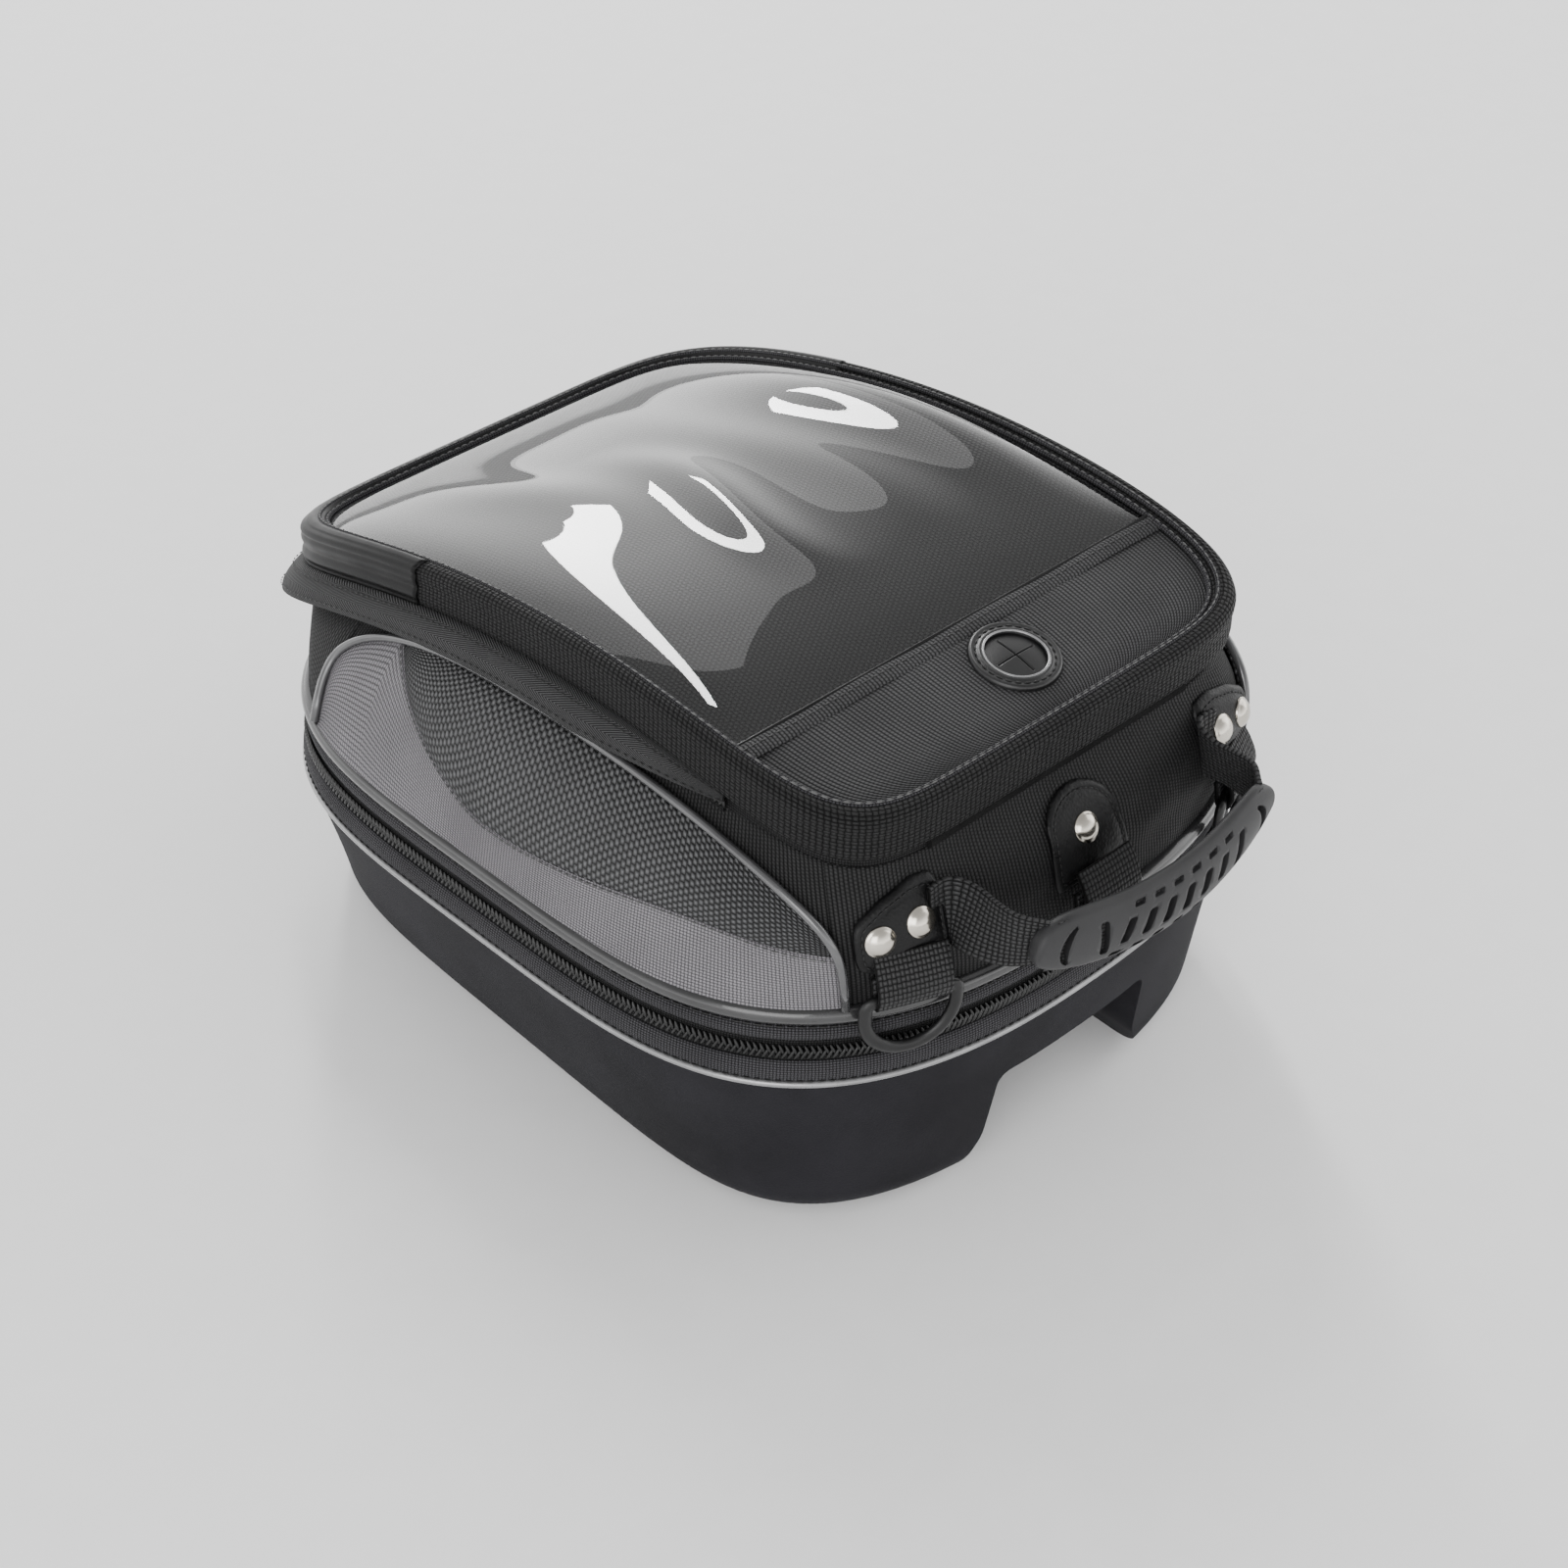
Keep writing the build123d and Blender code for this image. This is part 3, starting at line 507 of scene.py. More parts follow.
BEADS = cloth("bead_mesh", lambda f: f.ribs(1.9, 2.2, 1.0), 0.9, 0.0008, (0.105, 0.106, 0.110),
              rough=(0.55, 0.28), fuzz=0.0, specular=0.3)
TWILL = cloth("herringbone_tape", lambda f: f.twill(1.7, 11.0), 0.4, 0.001, (0.060, 0.060, 0.061),
              specular=0.1)
WEBBING = cloth("webbing", lambda f: f.plain_weave(1.9, 1.5), 0.6, 0.0008, (0.042, 0.042, 0.043),
                rough=(0.65, 0.4), specular=0.12)
LINING = cloth("lining", lambda f: f.plain_weave(0.7, 0.7), 0.12, (0.03, 0.03, 0.032), (0.07, 0.07, 0.074))
POCKET = cloth("pocket_backing", lambda f: f.ribs(1.5, 1.9, 1.0), 0.3, 0.003, (0.12, 0.12, 0.125),
               rough=(0.6, 0.45))
SHELL = pressed_foam("microfibre_shell")
LEATHER = grained_leather("synthetic_leather")
CLEAR_SHEET = clear_sheet("clear_sheet")
SILVER = gloss("silver_piping", (0.20, 0.20, 0.205), (0.32, 0.32, 0.325), (0.2, 0.32), coat=0.4, metal=0.55)
ARCH_GLOSS = gloss("arch_piping", (0.055, 0.055, 0.057), (0.10, 0.10, 0.103), (0.16, 0.26), coat=0.7,
                   metal=0.35)
DARK_PIPING = gloss("dark_piping", (0.014, 0.014, 0.0145), (0.026, 0.026, 0.027), (0.2, 0.32), coat=0.5)
COIL = gloss("zip_coil", 0.004, 0.010, (0.3, 0.42), specular=0.4)
THREAD = gloss("thread", 0.006, 0.018, (0.4, 0.55), 3000.0, 0.08, specular=0.3)
GREY_THREAD = gloss("grey_thread", 0.05, 0.11, (0.4, 0.55), 3000.0, 0.08, specular=0.3)
BINDING = gloss("gloss_binding", (0.002, 0.002, 0.0021), (0.0055, 0.0055, 0.0057), (0.3, 0.46), 1500.0, 0.04,
                specular=0.15)
GRIP_RUBBER = gloss("grip_rubber", (0.012, 0.012, 0.0128), (0.022, 0.022, 0.0232), (0.42, 0.58), 2500.0, 0.05,
                    specular=0.35)
PORT_RUBBER = gloss("port_rubber", (0.004, 0.004, 0.0043), (0.009, 0.009, 0.0094), (0.28, 0.45), 2500.0, 0.04)
RING_PLASTIC = gloss("ring_plastic", (0.004, 0.004, 0.0042), (0.009, 0.009, 0.0093), (0.28, 0.4), 2000.0,
                     specular=0.35)
NICKEL = gloss("nickel", (0.50, 0.47, 0.41), (0.66, 0.62, 0.55), (0.14, 0.27), 500.0, 0.02, metal=1.0)
STEEL = gloss("zinc_steel", 0.42, (0.6, 0.6, 0.58), (0.28, 0.45), 700.0, 0.03, metal=1.0)
BLACK_METAL = gloss("black_metal", 0.010, 0.024, (0.32, 0.5), metal=0.2)
CORD = gloss("soft_cord", 0.004, 0.010, (0.8, 0.95), 2500.0, 0.3, specular=0.1)
FOAM = gloss("foam", (0.020, 0.020, 0.022), (0.026, 0.026, 0.028), (0.8, 0.95), 1600.0, 0.35, specular=0.2)


# --- Pieces ---

def piece(thing, material, body, *replaces, slot=None):
    """Gives a piece its material and, when its body is one name, that body; a piece between two bodies only
    has its transform baked into its mesh.
    """
    thing.data.materials.clear()
    thing.data.materials.append(material)
    if isinstance(body, str):
        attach(thing, body)
    else:
        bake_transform(thing)
    if replaces:
        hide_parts(*replaces)
    return thing


def metres(point):
    return tuple(float(a + b) * MM for a, b in zip(point, (0, SHELL_Y, 0)))


def sewn(name, rows, material, body, *replaces, slot=None, held="stretched", rests_on=(), **shape):
    """Panel of cloth through rows of points."""
    thing = surface(name, rows, **shape)
    piece(thing, material, body, *replaces, slot=slot)


def cord(name, path, radius, material, body, *replaces, slot=None, **shape):
    piece(tube(name, path, radius, **shape), material, body, *replaces, slot=slot)


def seam(name, path, out, material, body, closed=False, pitch=3.4, size=(2.5, 0.75, 0.6)):
    """Row of stitches that stand out from a path, one way or each its own way."""
    points, along = even(path, pitch, closed)
    if np.ndim(out) > 1:
        out = out[[int(np.argmin(((path - p) ** 2).sum(1))) for p in points]]
    piece(repeated(name, *bead_shape(*size), points, along, out), material, body)


def level_out(points):
    """Directions straight out from the bag's middle line, at points."""
    return points * (1, 1, 0)


RIPPLE_WAVES = 7


def ripple(shape, seed, size, amount):
    """Smooth made-up unevenness for a panel, from a few waves."""
    rng = np.random.default_rng(seed)
    down, across = (np.linspace(0, 1, count) for count in shape)
    rows, columns = np.meshgrid(down, across, indexing="ij")
    total = np.zeros(shape)
    for _ in range(RIPPLE_WAVES):
        a, b = rng.normal(0, size[0]), rng.normal(0, size[1])
        total += np.sin(2 * math.pi * (a * rows + b * columns) + rng.uniform(0, 2 * math.pi))
    to_edge = np.minimum(np.minimum(rows, 1 - rows) * 6, 1)
    to_edge = to_edge * np.minimum(np.minimum(columns, 1 - columns) * 12, 1)
    return total / RIPPLE_WAVES * amount * to_edge


def mirrored(points):
    return np.asarray(points) * (-1, 1, 1)


def for_sides(points):
    """The left side's points and their mirror image, by side."""
    return {"left": np.asarray(points, float), "right": mirrored(points)}


# Base and zip band

def finish_cad_nodes():
    """Materials of the CAD nodes whose shape is shown as it is."""
    finishes = {"base_shell": SHELL, "mounting_ring": RING_PLASTIC, "mounting_screws": STEEL,
                "lid_stiffener": FOAM, "hinge_bead": CORD}
    for zipper in ("left_main", "right_main", "expansion"):
        finishes[f"{zipper}_slider"] = BLACK_METAL
        finishes[f"{zipper}_pull"] = BLACK_METAL
    for name, material in finishes.items():
        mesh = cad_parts[name].data
        mesh.materials.clear()
        mesh.materials.append(material)
        mesh.shade_smooth()


def mats():
    """Foam mats on the floor of the two lobes, swollen a little from their cut shape."""
    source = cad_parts["lining_mats"]
    thing = source.copy()
    thing.data = source.data.copy()
    thing.name = "lobe_mats"
    for key in list(thing.keys()):
        del thing[key]
    thing.parent = None
    bpy.context.scene.collection.objects.link(thing)
    remesh = thing.modifiers.new("remesh", "REMESH")
    remesh.mode = "VOXEL"
    remesh.voxel_size = 1.2 * MM
    soften = thing.modifiers.new("soften", "SMOOTH")
    soften.iterations = 6
    thing.data.shade_smooth()
    piece(thing, FOAM, "base", "lining_mats", slot="foam")


def band_slope(z):
    """How far the zip band leans in at a height above the seam."""
    return (BAND_TOP.half_width - SEAM.half_width) / BAND_HEIGHT * z


def band_strip(side, low, high, bulge, body):
    """Puffed strip of cloth on the zip band, from one height to another."""
    rows = []
    for t in np.linspace(0, 1, 9):
        z = low + (high - low) * t
        rows.append(band_point(band_slope(z) + bulge * math.sin(math.pi * t), z, ALL_ROUND))
    sewn(f"{side}_band_cloth", rows, ROUGH_TAPE, body, f"{side}_zip_band", slot="coarse_mesh",
         wrap_along=True, thickness=1.6)


def band_tape(side, low, high, body):
    """Zip tape between the two strips of the band."""
    rows = [band_point(band_slope(z) - 0.5, z, ALL_ROUND) for z in np.linspace(low, high, 4)]
    tape = surface(f"{side}_zip_tape", rows, wrap_along=True, thickness=0.9)
    piece(tape, FINE_NYLON, body, f"{side}_zip_coil", slot="zip_coil")


def zip_teeth(name, path, down, body, closed=False):
    """One row of coil teeth: slanted nylon beads along the edge of a tape."""
    points, along = even(path, TOOTH_PITCH, closed)
    shape, faces = bead_shape(*TOOTH_SIZE)
    c, s = math.cos(TOOTH_SLANT), math.sin(TOOTH_SLANT)
    spin = np.array([[c, s, 0], [-s, c, 0], [0, 0, 1]])
    shape = shape @ spin * (1, down, 1)
    piece(repeated(name, shape, faces, points, along, level_out(points)), COIL, body)


def zip_band():
    """Seam piping, the band's two strips, the zip between them and the thick piping on top."""
    around = ALL_ROUND[:-1]
    cord("silver_seam_piping", band_point(-0.3, 0, around), SEAM_PIPING_R, SILVER, "base", "seam_piping",
         slot="silver_piping", closed=True)
    lip = band_point(0.2, 1.9, around)
    seam("seam_stitches", lip, level_out(lip), THREAD, "base", closed=True, size=(2.2, 0.5, 0.8))
    band_strip("lower", 1.4, 9.4, 0.9, "base")
    band_strip("upper", 17.0, 24.0, 1.6, "upper_body")
    band_tape("lower", 9.2, 12.6, "base")
    band_tape("upper", 13.6, 17.2, "upper_body")
    for side, z, down, body, shift in (("lower", 12.3, 1, "base", 0.0),
                                       ("upper", 13.9, -1, "upper_body", HALF_TOOTH)):
        path = band_point(band_slope(z) + 0.5, z, around + shift)
        zip_teeth(f"{side}_zip_teeth", path, down, body, closed=True)
    cord("thick_piping", band_point(0.3, BAND_HEIGHT, around, BAND_TOP), THICK_PIPING_R, DARK_PIPING,
         "upper_body", "body_piping", slot="black_piping", closed=True, sides=16)
    z = 23.2
    row = band_point(band_slope(z) + 1.3, z, around)
    seam("thick_piping_stitches", row, level_out(row), THREAD, "upper_body", closed=True,
         size=(2.4, 0.6, 0.7))
    gusset()


def gusset():
    """Inner fabric wall folded between base and body; on the real bag it draws out as the bag grows."""
    low, high, inset = 2.5, 22.5, 9.0
    profile = [(-2.2, low - 1.4), (-5.0, low - 1.6), (-8.0, low - 0.8)]
    for t in np.linspace(0, 1, 13):
        profile.append((-inset + 1.6 * math.sin(3 * math.pi * t), low + (high - low) * t))
    profile += [(-8.0, high + 0.8), (-5.0, high + 1.8), (-2.6, high + 2.2)]
    rows = [band_point(grow, z, ALL_ROUND) for grow, z in profile]
    start, end = (0, 0, BASE_DEPTH + low), (0, 0, BASE_DEPTH + high)
    sewn("gusset_cloth", rows, LINING, ("base", "upper_body", start, end), "expansion_gusset",
         slot="lining", held="folded", wrap_along=True, thickness=0.6)


# Body walls

ARCH_MIDDLE, ARCH_HALF, ARCH_TOP = 25.25, 5.85, 0.93  # the piped arch, in left stations and share


def arch_share(station):
    """Height of the piped arch at a station on the left side."""
    reach = np.abs((np.asarray(station, float) - ARCH_MIDDLE) / ARCH_HALF).clip(0, 1)
    return ARCH_TOP * (1 - reach**6) ** (1 / 5)


def insert_share(station):
    """Lower edge of the bead mesh insert at a station on the left side."""
    station = np.asarray(station, float)
    fall = 0.24 + 0.66 * ((24.2 - station) / 3.3).clip(0, None) ** 1.7
    rise = ((station - 24.4) / 5.2).clip(0, 1)
    return fall + 0.24 * rise**2 * (3 - 2 * rise)


def wall_rows(share_rows, out, station):
    return np.array([wall_point(share, out, station) for share in share_rows])


def body_walls():
    for name, middle, reach, seed in (("front", FRONT, 5.0, 3), ("rear", REAR, 7.5, 5)):
        station = span(middle - reach, middle + reach, 0.1)
        shares = np.linspace(-0.06, 1.06, 30)
        rows = wall_rows(shares, 0.0, station)
        rows += unit(level_out(rows)) * ripple(rows.shape[:2], seed, (1.0, 2.6), 1.5)[..., None]
        sewn(f"{name}_wall_cloth", rows, WALL_NYLON, "upper_body", f"{name}_panel", slot="nylon",
             thickness=1.6)
    side_walls()
    rims()


def side_walls():
    """The two sides: a backing, grey trim, a swollen bead insert, piping and stitches."""
    station = span(ARCH_MIDDLE - ARCH_HALF - 0.6, ARCH_MIDDLE + ARCH_HALF + 0.3, 0.1)
    backing = wall_rows(np.linspace(-0.06, 1.06, 24), -0.3, station)
    for side, points in for_sides(backing).items():
        sewn(f"{side}_wall_cloth", points, WALL_NYLON, "upper_body", f"{side}_side_panel", slot="nylon",
             thickness=1.4)
    insert_station = span(INSERT_START, ARCH_MIDDLE + ARCH_HALF - 0.05, SIDE_STEP)
    row = wall_point(insert_share(insert_station) - 0.02, 1.9, insert_station)
    groups = [for_sides(points) for points in (grey_rows(), insert_rows(insert_station), arch_path(), row)]
    for side in ("left", "right"):
        trim, insert, arch, row = (group[side] for group in groups)
        sewn(f"{side}_grey_cloth", trim, GREY, "upper_body", f"{side}_grey_trim", slot="grey_fabric",
             thickness=0.9)
        sewn(f"{side}_bead_insert", insert, BEADS, "upper_body", f"{side}_mesh_insert", slot="bead_mesh",
             thickness=0.9)
        cord(f"{side}_arch_piping", arch, ARCH_PIPING_R, ARCH_GLOSS, "upper_body", f"{side}_side_piping",
             slot="silver_piping", sides=14)
        seam(f"{side}_insert_stitches", row, level_out(row), GREY_THREAD, "upper_body", pitch=3.0,
             size=(2.2, 0.6, 0.6))


def grey_rows():
    """Grey trim from the foot of the left wall up to the insert or the arch."""
    station = span(ARCH_MIDDLE - ARCH_HALF + 0.02, ARCH_MIDDLE + ARCH_HALF - 0.02, SIDE_STEP)
    top = np.minimum(arch_share(station), insert_share(station))
    return wall_rows([top * t - 0.05 * (1 - t) for t in np.linspace(0, 1, 16)], 1.2, station)


def insert_rows(station):
    """Bead mesh insert of the left wall, swollen between its lower edge and the arch."""
    high = arch_share(station) - 0.015
    low = np.minimum(insert_share(station), high - 0.002)
    ends = np.minimum(1, 5 * np.linspace(0, 1, len(station)).clip(0.02, None))
    ends *= np.minimum(1, 5 * np.linspace(1, 0, len(station)).clip(0.02, None))
    rows = []
    for t in np.linspace(0, 1, 26):
        swell = 1.0 + 3.2 * math.sin(math.pi * t) ** 0.6
        near = wall_point(low + (high - low) * t, 0.9, station)
        far = wall_point(low + (high - low) * t, 0.9 + swell, station)
        rows.append(near + (far - near) * ends[:, None])
    return np.array(rows)


def arch_path():
    """Line of the piping over the left side."""
    angle = np.linspace(0, math.pi, 121)
    across = np.sign(np.cos(angle)) * np.abs(np.cos(angle)) ** (1 / 3)
    share = ARCH_TOP * np.sin(angle).clip(0, 1) ** 0.4
    return wall_point(share, 2.4, ARCH_MIDDLE - ARCH_HALF * across)


def rims():
    """Zip tapes above the walls and the strip that hinges the lid."""
    station = span(REAR - ZIP_SPAN, REAR + ZIP_SPAN)
    for part, body, profile in (
        ("body", "upper_body", ((1.6, 22.6), (1.7, 21.0), (1.5, 18.9))),
        ("lid", "lid", ((1.5, 16.9), (1.7, 15.0), (1.6, 13.4))),
    ):
        tape = [lid_point(grow, drop, station) for grow, drop in profile]
        thing = surface(f"{part}_zip_tape", tape, thickness=1.0)
        piece(thing, FINE_NYLON, body, f"main_zip_{part}_coil", slot="zip_coil")
    zip_teeth("body_zip_teeth", lid_point(2.4, 18.6, station), 1, "upper_body")
    zip_teeth("lid_zip_teeth", lid_point(2.4, 17.2, station + HALF_TOOTH), -1, "lid")
    station = span(FRONT - 7.2, FRONT + 7.2)
    rows = [lid_point(1.5 - 1.2 * math.sin(math.pi * t), 23.0 - 10.0 * t, station)
            for t in np.linspace(0, 1, 9)]
    start = (0, HINGE_Y, lid_z(HINGE_Y, 21.5))
    end = (0, HINGE_Y, lid_z(HINGE_Y, 14.5))
    sewn("hinge_strip", rows, FINE_NYLON, ("upper_body", "lid", start, end), held="folded", thickness=1.0)


# Lid

Fold = namedtuple("Fold", "x y_front y_rear width height bow")
FOLDS = (
    Fold(80.0, -72.0, 124.0, 21.0, 6.2, 4.0),
    Fold(30.0, -80.0, 142.0, 15.0, 1.0, 8.0),
    Fold(-8.0, -52.0, 84.0, 12.0, 3.0, -6.0),
    Fold(-44.0, 10.0, 152.0, 16.0, 1.3, 9.0),
)
SLACK, SLACK_REACH = 4.2, 9.0


def window_rise(x, y, half_width):
    """Height of the slack window above its pocket."""
    from_side = (half_width - np.abs(x)).clip(0, None)
    from_seam = (y - WINDOW_SEAM_Y).clip(0, None)
    from_rear = (LID.centre_y + LID.half_length - 4 - y).clip(0, None)
    side = 1 - np.exp(-from_side / SLACK_REACH)
    ends = (1 - np.exp(-from_seam / 14.0)) * (1 - np.exp(-from_rear / SLACK_REACH))
    rise = SLACK * side * ends
    for fold in FOLDS:
        run = ((y - fold.y_front) / (fold.y_rear - fold.y_front)).clip(0, 1)
        middle = fold.x + fold.bow * np.sin(2 * math.pi * run)
        swell = np.sin(math.pi * run) ** 1.5
        rise += fold.height * swell * np.exp(-(((x - middle) / fold.width) ** 2)) * side * ends
    return rise


def lid_inner(grow, y):
    """Half width inside the lid's outline at y."""
    station = np.linspace(0, REAR, 400)
    x, along = ring(LID, grow, station)
    front_x, front_along = ring(LID, grow, ROUND - station)
    ys = np.concatenate([front_along[::-1], along[1:]])
    xs = np.concatenate([front_x[::-1], x[1:]])
    return np.interp(y, ys, xs)


def lid_sheet(y_start, y_stop, grow, rise, steps=(120, 90)):
    """Rows of a sheet over part of the lid, from side to side, lifted by rise."""
    ys = np.linspace(y_start, y_stop, steps[0])
    half = lid_inner(grow, ys)
    share = np.sin(np.linspace(-math.pi / 2, math.pi / 2, steps[1]))
    share = 0.5 * share + 0.5 * np.linspace(-1, 1, steps[1])
    x = half[:, None] * share
    y = np.broadcast_to(ys[:, None], x.shape)
    return np.stack([x, y, lid_z(y) + rise(x, y, half[:, None])], -1)


def flat_rise(x, y, half):
    """Level of the cloth sewn flat on the lid's stiffener."""
    return np.full_like(x, CLOTH_LEVEL)


def window_level(x, y, half):
    return 0.1 + window_rise(x, y, half)


def front_rise(x, y, half):
    """Crown of the front panel, which lies flat at its edges."""
    crown = 1.4 * (1 - (np.abs(x) / half).clip(0, 1) ** 4)
    from_seam = ((WINDOW_SEAM_Y - y) / 6).clip(0, 1)
    to_edge = ((y - LID_FRONT_EDGE) / 10).clip(0, 1)
    return CLOTH_LEVEL + crown * from_seam * to_edge


def lid_top():
    """Map pocket with its clear window, the ribbed front panel, the hem between and the cable port."""
    rows = lid_sheet(WINDOW_SEAM_Y - 1, LID_REAR_EDGE, -1.4, flat_rise)
    sewn("pocket_backing_cloth", rows, POCKET, "lid", "map_pocket_backing", slot="nylon", thickness=1.4)
    rows = lid_sheet(WINDOW_SEAM_Y + 0.5, LID_REAR_EDGE - 1.5, -3.2, window_level, (220, 170))
    sewn("clear_window_sheet", rows, CLEAR_SHEET, "lid", "map_window", slot="clear_window")
    rows = lid_sheet(LID_FRONT_EDGE, WINDOW_SEAM_Y, -1.4, front_rise, (70, 110))
    sewn("front_panel_cloth", rows, NYLON, "lid", "lid_front_panel", slot="nylon", thickness=1.4)
    hem()
    port()


def hem_row(x, ahead, lift, wave):
    y = np.full_like(x, WINDOW_SEAM_Y + ahead)
    return np.stack([x, y, lid_z(y) + lift + wave * np.sin(x / 9.0)], -1)


def hem():
    """Folded, stitched edge where the front panel overlaps the window."""
    half = lid_inner(-1.6, np.array([WINDOW_SEAM_Y]))[0]
    x = np.linspace(-half, half, 160)
    profile = ((-4.6, 0.5), (-3.8, 1.1), (-1.6, 1.5), (0.4, 1.6), (1.6, 1.2), (2.1, 0.2), (1.6, -0.4))
    rows = [hem_row(x, ahead, lift, HEM_WAVE) for ahead, lift in profile]
    sewn("window_hem", rows, NYLON, "lid", slot="nylon", held="folded")
    row = hem_row(x, -0.9, 1.6, HEM_WAVE)
    seam("window_hem_stitches", row, UPWARDS, THREAD, "lid", size=(2.4, 0.7, 0.5))
    cord("window_edge_cord", hem_row(x, 2.3, 0.6, 0.0), 0.8, BINDING, "lid", sides=8)


EDGE_PROFILE = (  # the lid's rolled edge from its inner edge on top, out and down: grow, drop
    (-2.4, 0.2), (-1.7, -1.2), (-0.4, -2.7), (1.2, -3.7), (2.8, -3.4), (4.0, -2.2), (4.6, -0.4), (4.5, 2.0),
    (4.1, 4.5), (4.3, 7.0), (4.4, 9.5), (4.2, 11.8), (3.6, 13.4), (2.6, 14.2), (1.4, 14.0),
)


def lid_edge():
    """Coarse cloth rolled round the lid's edge, with two corded seams on top."""
    rows = [lid_point(grow, drop, ALL_ROUND) for grow, drop in EDGE_PROFILE]
    sewn("lid_edge_cloth", rows, COARSE, "lid", "lid_band", "lid_piping", slot="coarse_mesh",
         wrap_along=True, thickness=1.0)
    for number, grow, drop, radius in ((1, -2.3, -0.6, 1.1), (2, -0.3, -3.0, 0.8)):
        path = lid_point(grow, drop, ALL_ROUND[:-1])
        cord(f"lid_edge_cord_{number}", path, radius, ROUGH_TAPE, "lid", closed=True, sides=8)
        seam(f"lid_edge_stitches_{number}", path + (0, 0, radius), UPWARDS, GREY_THREAD, "lid",
             closed=True, size=(2.4, 0.6, 0.5))
    rear_binding()
    rain_flap()


def rear_binding():
    """Glossy ridged binding wrapped round the rear of the lid's edge."""
    station = span(REAR - 9.2, REAR + 9.2)
    grows, drops = zip(*EDGE_PROFILE)
    places = range(len(EDGE_PROFILE))
    rows = []
    for t in np.linspace(0, 1, 64):
        place = t * places[-1]
        grow, drop = np.interp(place, places, grows), np.interp(place, places, drops)
        proud = 0.5 + 0.55 * abs(math.sin(6.5 * math.pi * t))
        out = min(1.0, max(0.0, (t - 0.12) * 5))
        rows.append(lid_point(grow + proud * out, drop - proud * (1 - out), station))
    sewn("rear_binding_cloth", rows, BINDING, "lid", "lid_rear_binding", slot="black_piping", thickness=0.5)


def rain_flap():
    """Herringbone tape that leans out over the main zip and tapers in to the lid at its ends."""
    station = span(REAR - ZIP_SPAN, REAR + ZIP_SPAN)
    rows = [lid_point(2.4, 12.6, station)]
    ends = np.minimum(1, 0.3 * np.minimum(station - station[0], station[-1] - station))
    for t in np.linspace(0, 1, 10):
        lean = 4.0 + 5.0 * math.sin(t * math.pi / 2) ** 0.9
        drop = 13.0 + 9.5 * t
        near, far = lid_point(3.0, drop, station), lid_point(3.0 + lean, drop, station)
        hung = near + (far - near) * (0.15 + 0.85 * ends)[:, None]
        hung[:, 2] += 7.0 * t * (1 - ends) ** 2
        rows.append(hung)
    sewn("rain_flap_tape", rows, TWILL, "lid", "rain_flap", slot="webbing", held="hung",
         rests_on=("lid_edge_cloth",), thickness=0.8)
    for number, line in ((1, 2), (2, 8)):
        row = rows[line]
        seam(f"flap_stitches_{number}", row + row * (0.003, 0.003, 0), level_out(row), THREAD, "lid",
             size=(2.2, 0.5, 0.5))


Axes = namedtuple("Axes", "middle across ahead up")


def port_axes():
    tilt = math.atan(LID_SLOPE + 2 * LID_CURVE * (PORT_Y - LID.centre_y))
    across = np.array([1.0, 0.0, 0.0])
    ahead = np.array([0.0, math.cos(tilt), math.sin(tilt)])
    middle = np.array([PORT_X, PORT_Y, lid_z(PORT_Y) + 0.6])
    return Axes(middle, across, ahead, np.cross(across, ahead))


def circle(axes, radius, height, turn):
    """Points round an axis at angles, at one radius and at one height or one for each angle."""
    spoke = np.cos(turn)[:, None] * axes.across + np.sin(turn)[:, None] * axes.ahead
    return axes.middle + spoke * radius + axes.up * np.asarray(height, float)[..., None]


def turned(name, profile, axes, sides):
    """Shape turned about an axis from pairs of radius and height."""
    turn = np.linspace(0, 2 * math.pi, sides + 1)
    rows = [circle(axes, radius, height, turn) for radius, height in profile]
    return surface(name, rows, wrap_along=True, inside=tuple(axes.middle - axes.up * 20))


PORT_RIM = ((10.6, -1.0), (10.7, 1.6), (11.2, 2.2), (12.2, 2.0), (12.6, 1.7), (13.6, 1.7), (14.4, 2.0),
            (15.1, 1.6), (15.5, 0.6), (15.5, -1.2))  # radius, height
MEMBRANE_R, SLIT_REACH = 10.8, 8.2


def port():
    """Round rubber port for a cable: stitched rim, silver ring and a membrane cut in a cross."""
    axes = port_axes()
    piece(turned("cable_port_rim", PORT_RIM, axes, 64), PORT_RUBBER, "lid", "cable_port_ring",
          slot="port_rubber")
    turn = np.linspace(0, 2 * math.pi, 73)[:-1]
    up = tuple(axes.up)
    seam("cable_port_stitches", circle(axes, 13.1, 1.8, turn), up, THREAD, "lid", closed=True,
         pitch=3.0, size=(2.2, 0.7, 0.7))
    cord("cable_port_trim", circle(axes, 10.7, 1.9, turn), 0.45, SILVER, "lid", closed=True, up=up, sides=8)
    sides = 240
    turn = np.linspace(0, 2 * math.pi, sides + 1)
    profile = []
    for radius in np.linspace(0.02, MEMBRANE_R, 40):
        from_slit = np.minimum(np.abs(np.sin(turn)), np.abs(np.cos(turn))) * radius
        groove = 0.8 * np.exp(-((from_slit / 0.28) ** 2)) * (radius < SLIT_REACH)
        dome = 0.9 * (1 - (radius / MEMBRANE_R) ** 2)
        profile.append((radius, 0.7 + dome - groove))
    piece(turned("cable_port_cross", profile, axes, sides), PORT_RUBBER, "lid", "cable_port_membrane",
          slot="port_rubber")


# Patches, loops and rings

RIVETS = ((0.0, 0.70), (3.54, 0.70), (4.26, 0.64), (-3.54, 0.70), (-4.26, 0.64))  # station, share
RIVET_DOME = ((5.2, -0.5), (5.2, 0.1), (5.0, 0.35), (4.7, 0.5), (4.3, 1.0), (3.6, 1.6), (2.6, 2.15),
              (1.4, 2.5), (0.05, 2.6))  # radius, height


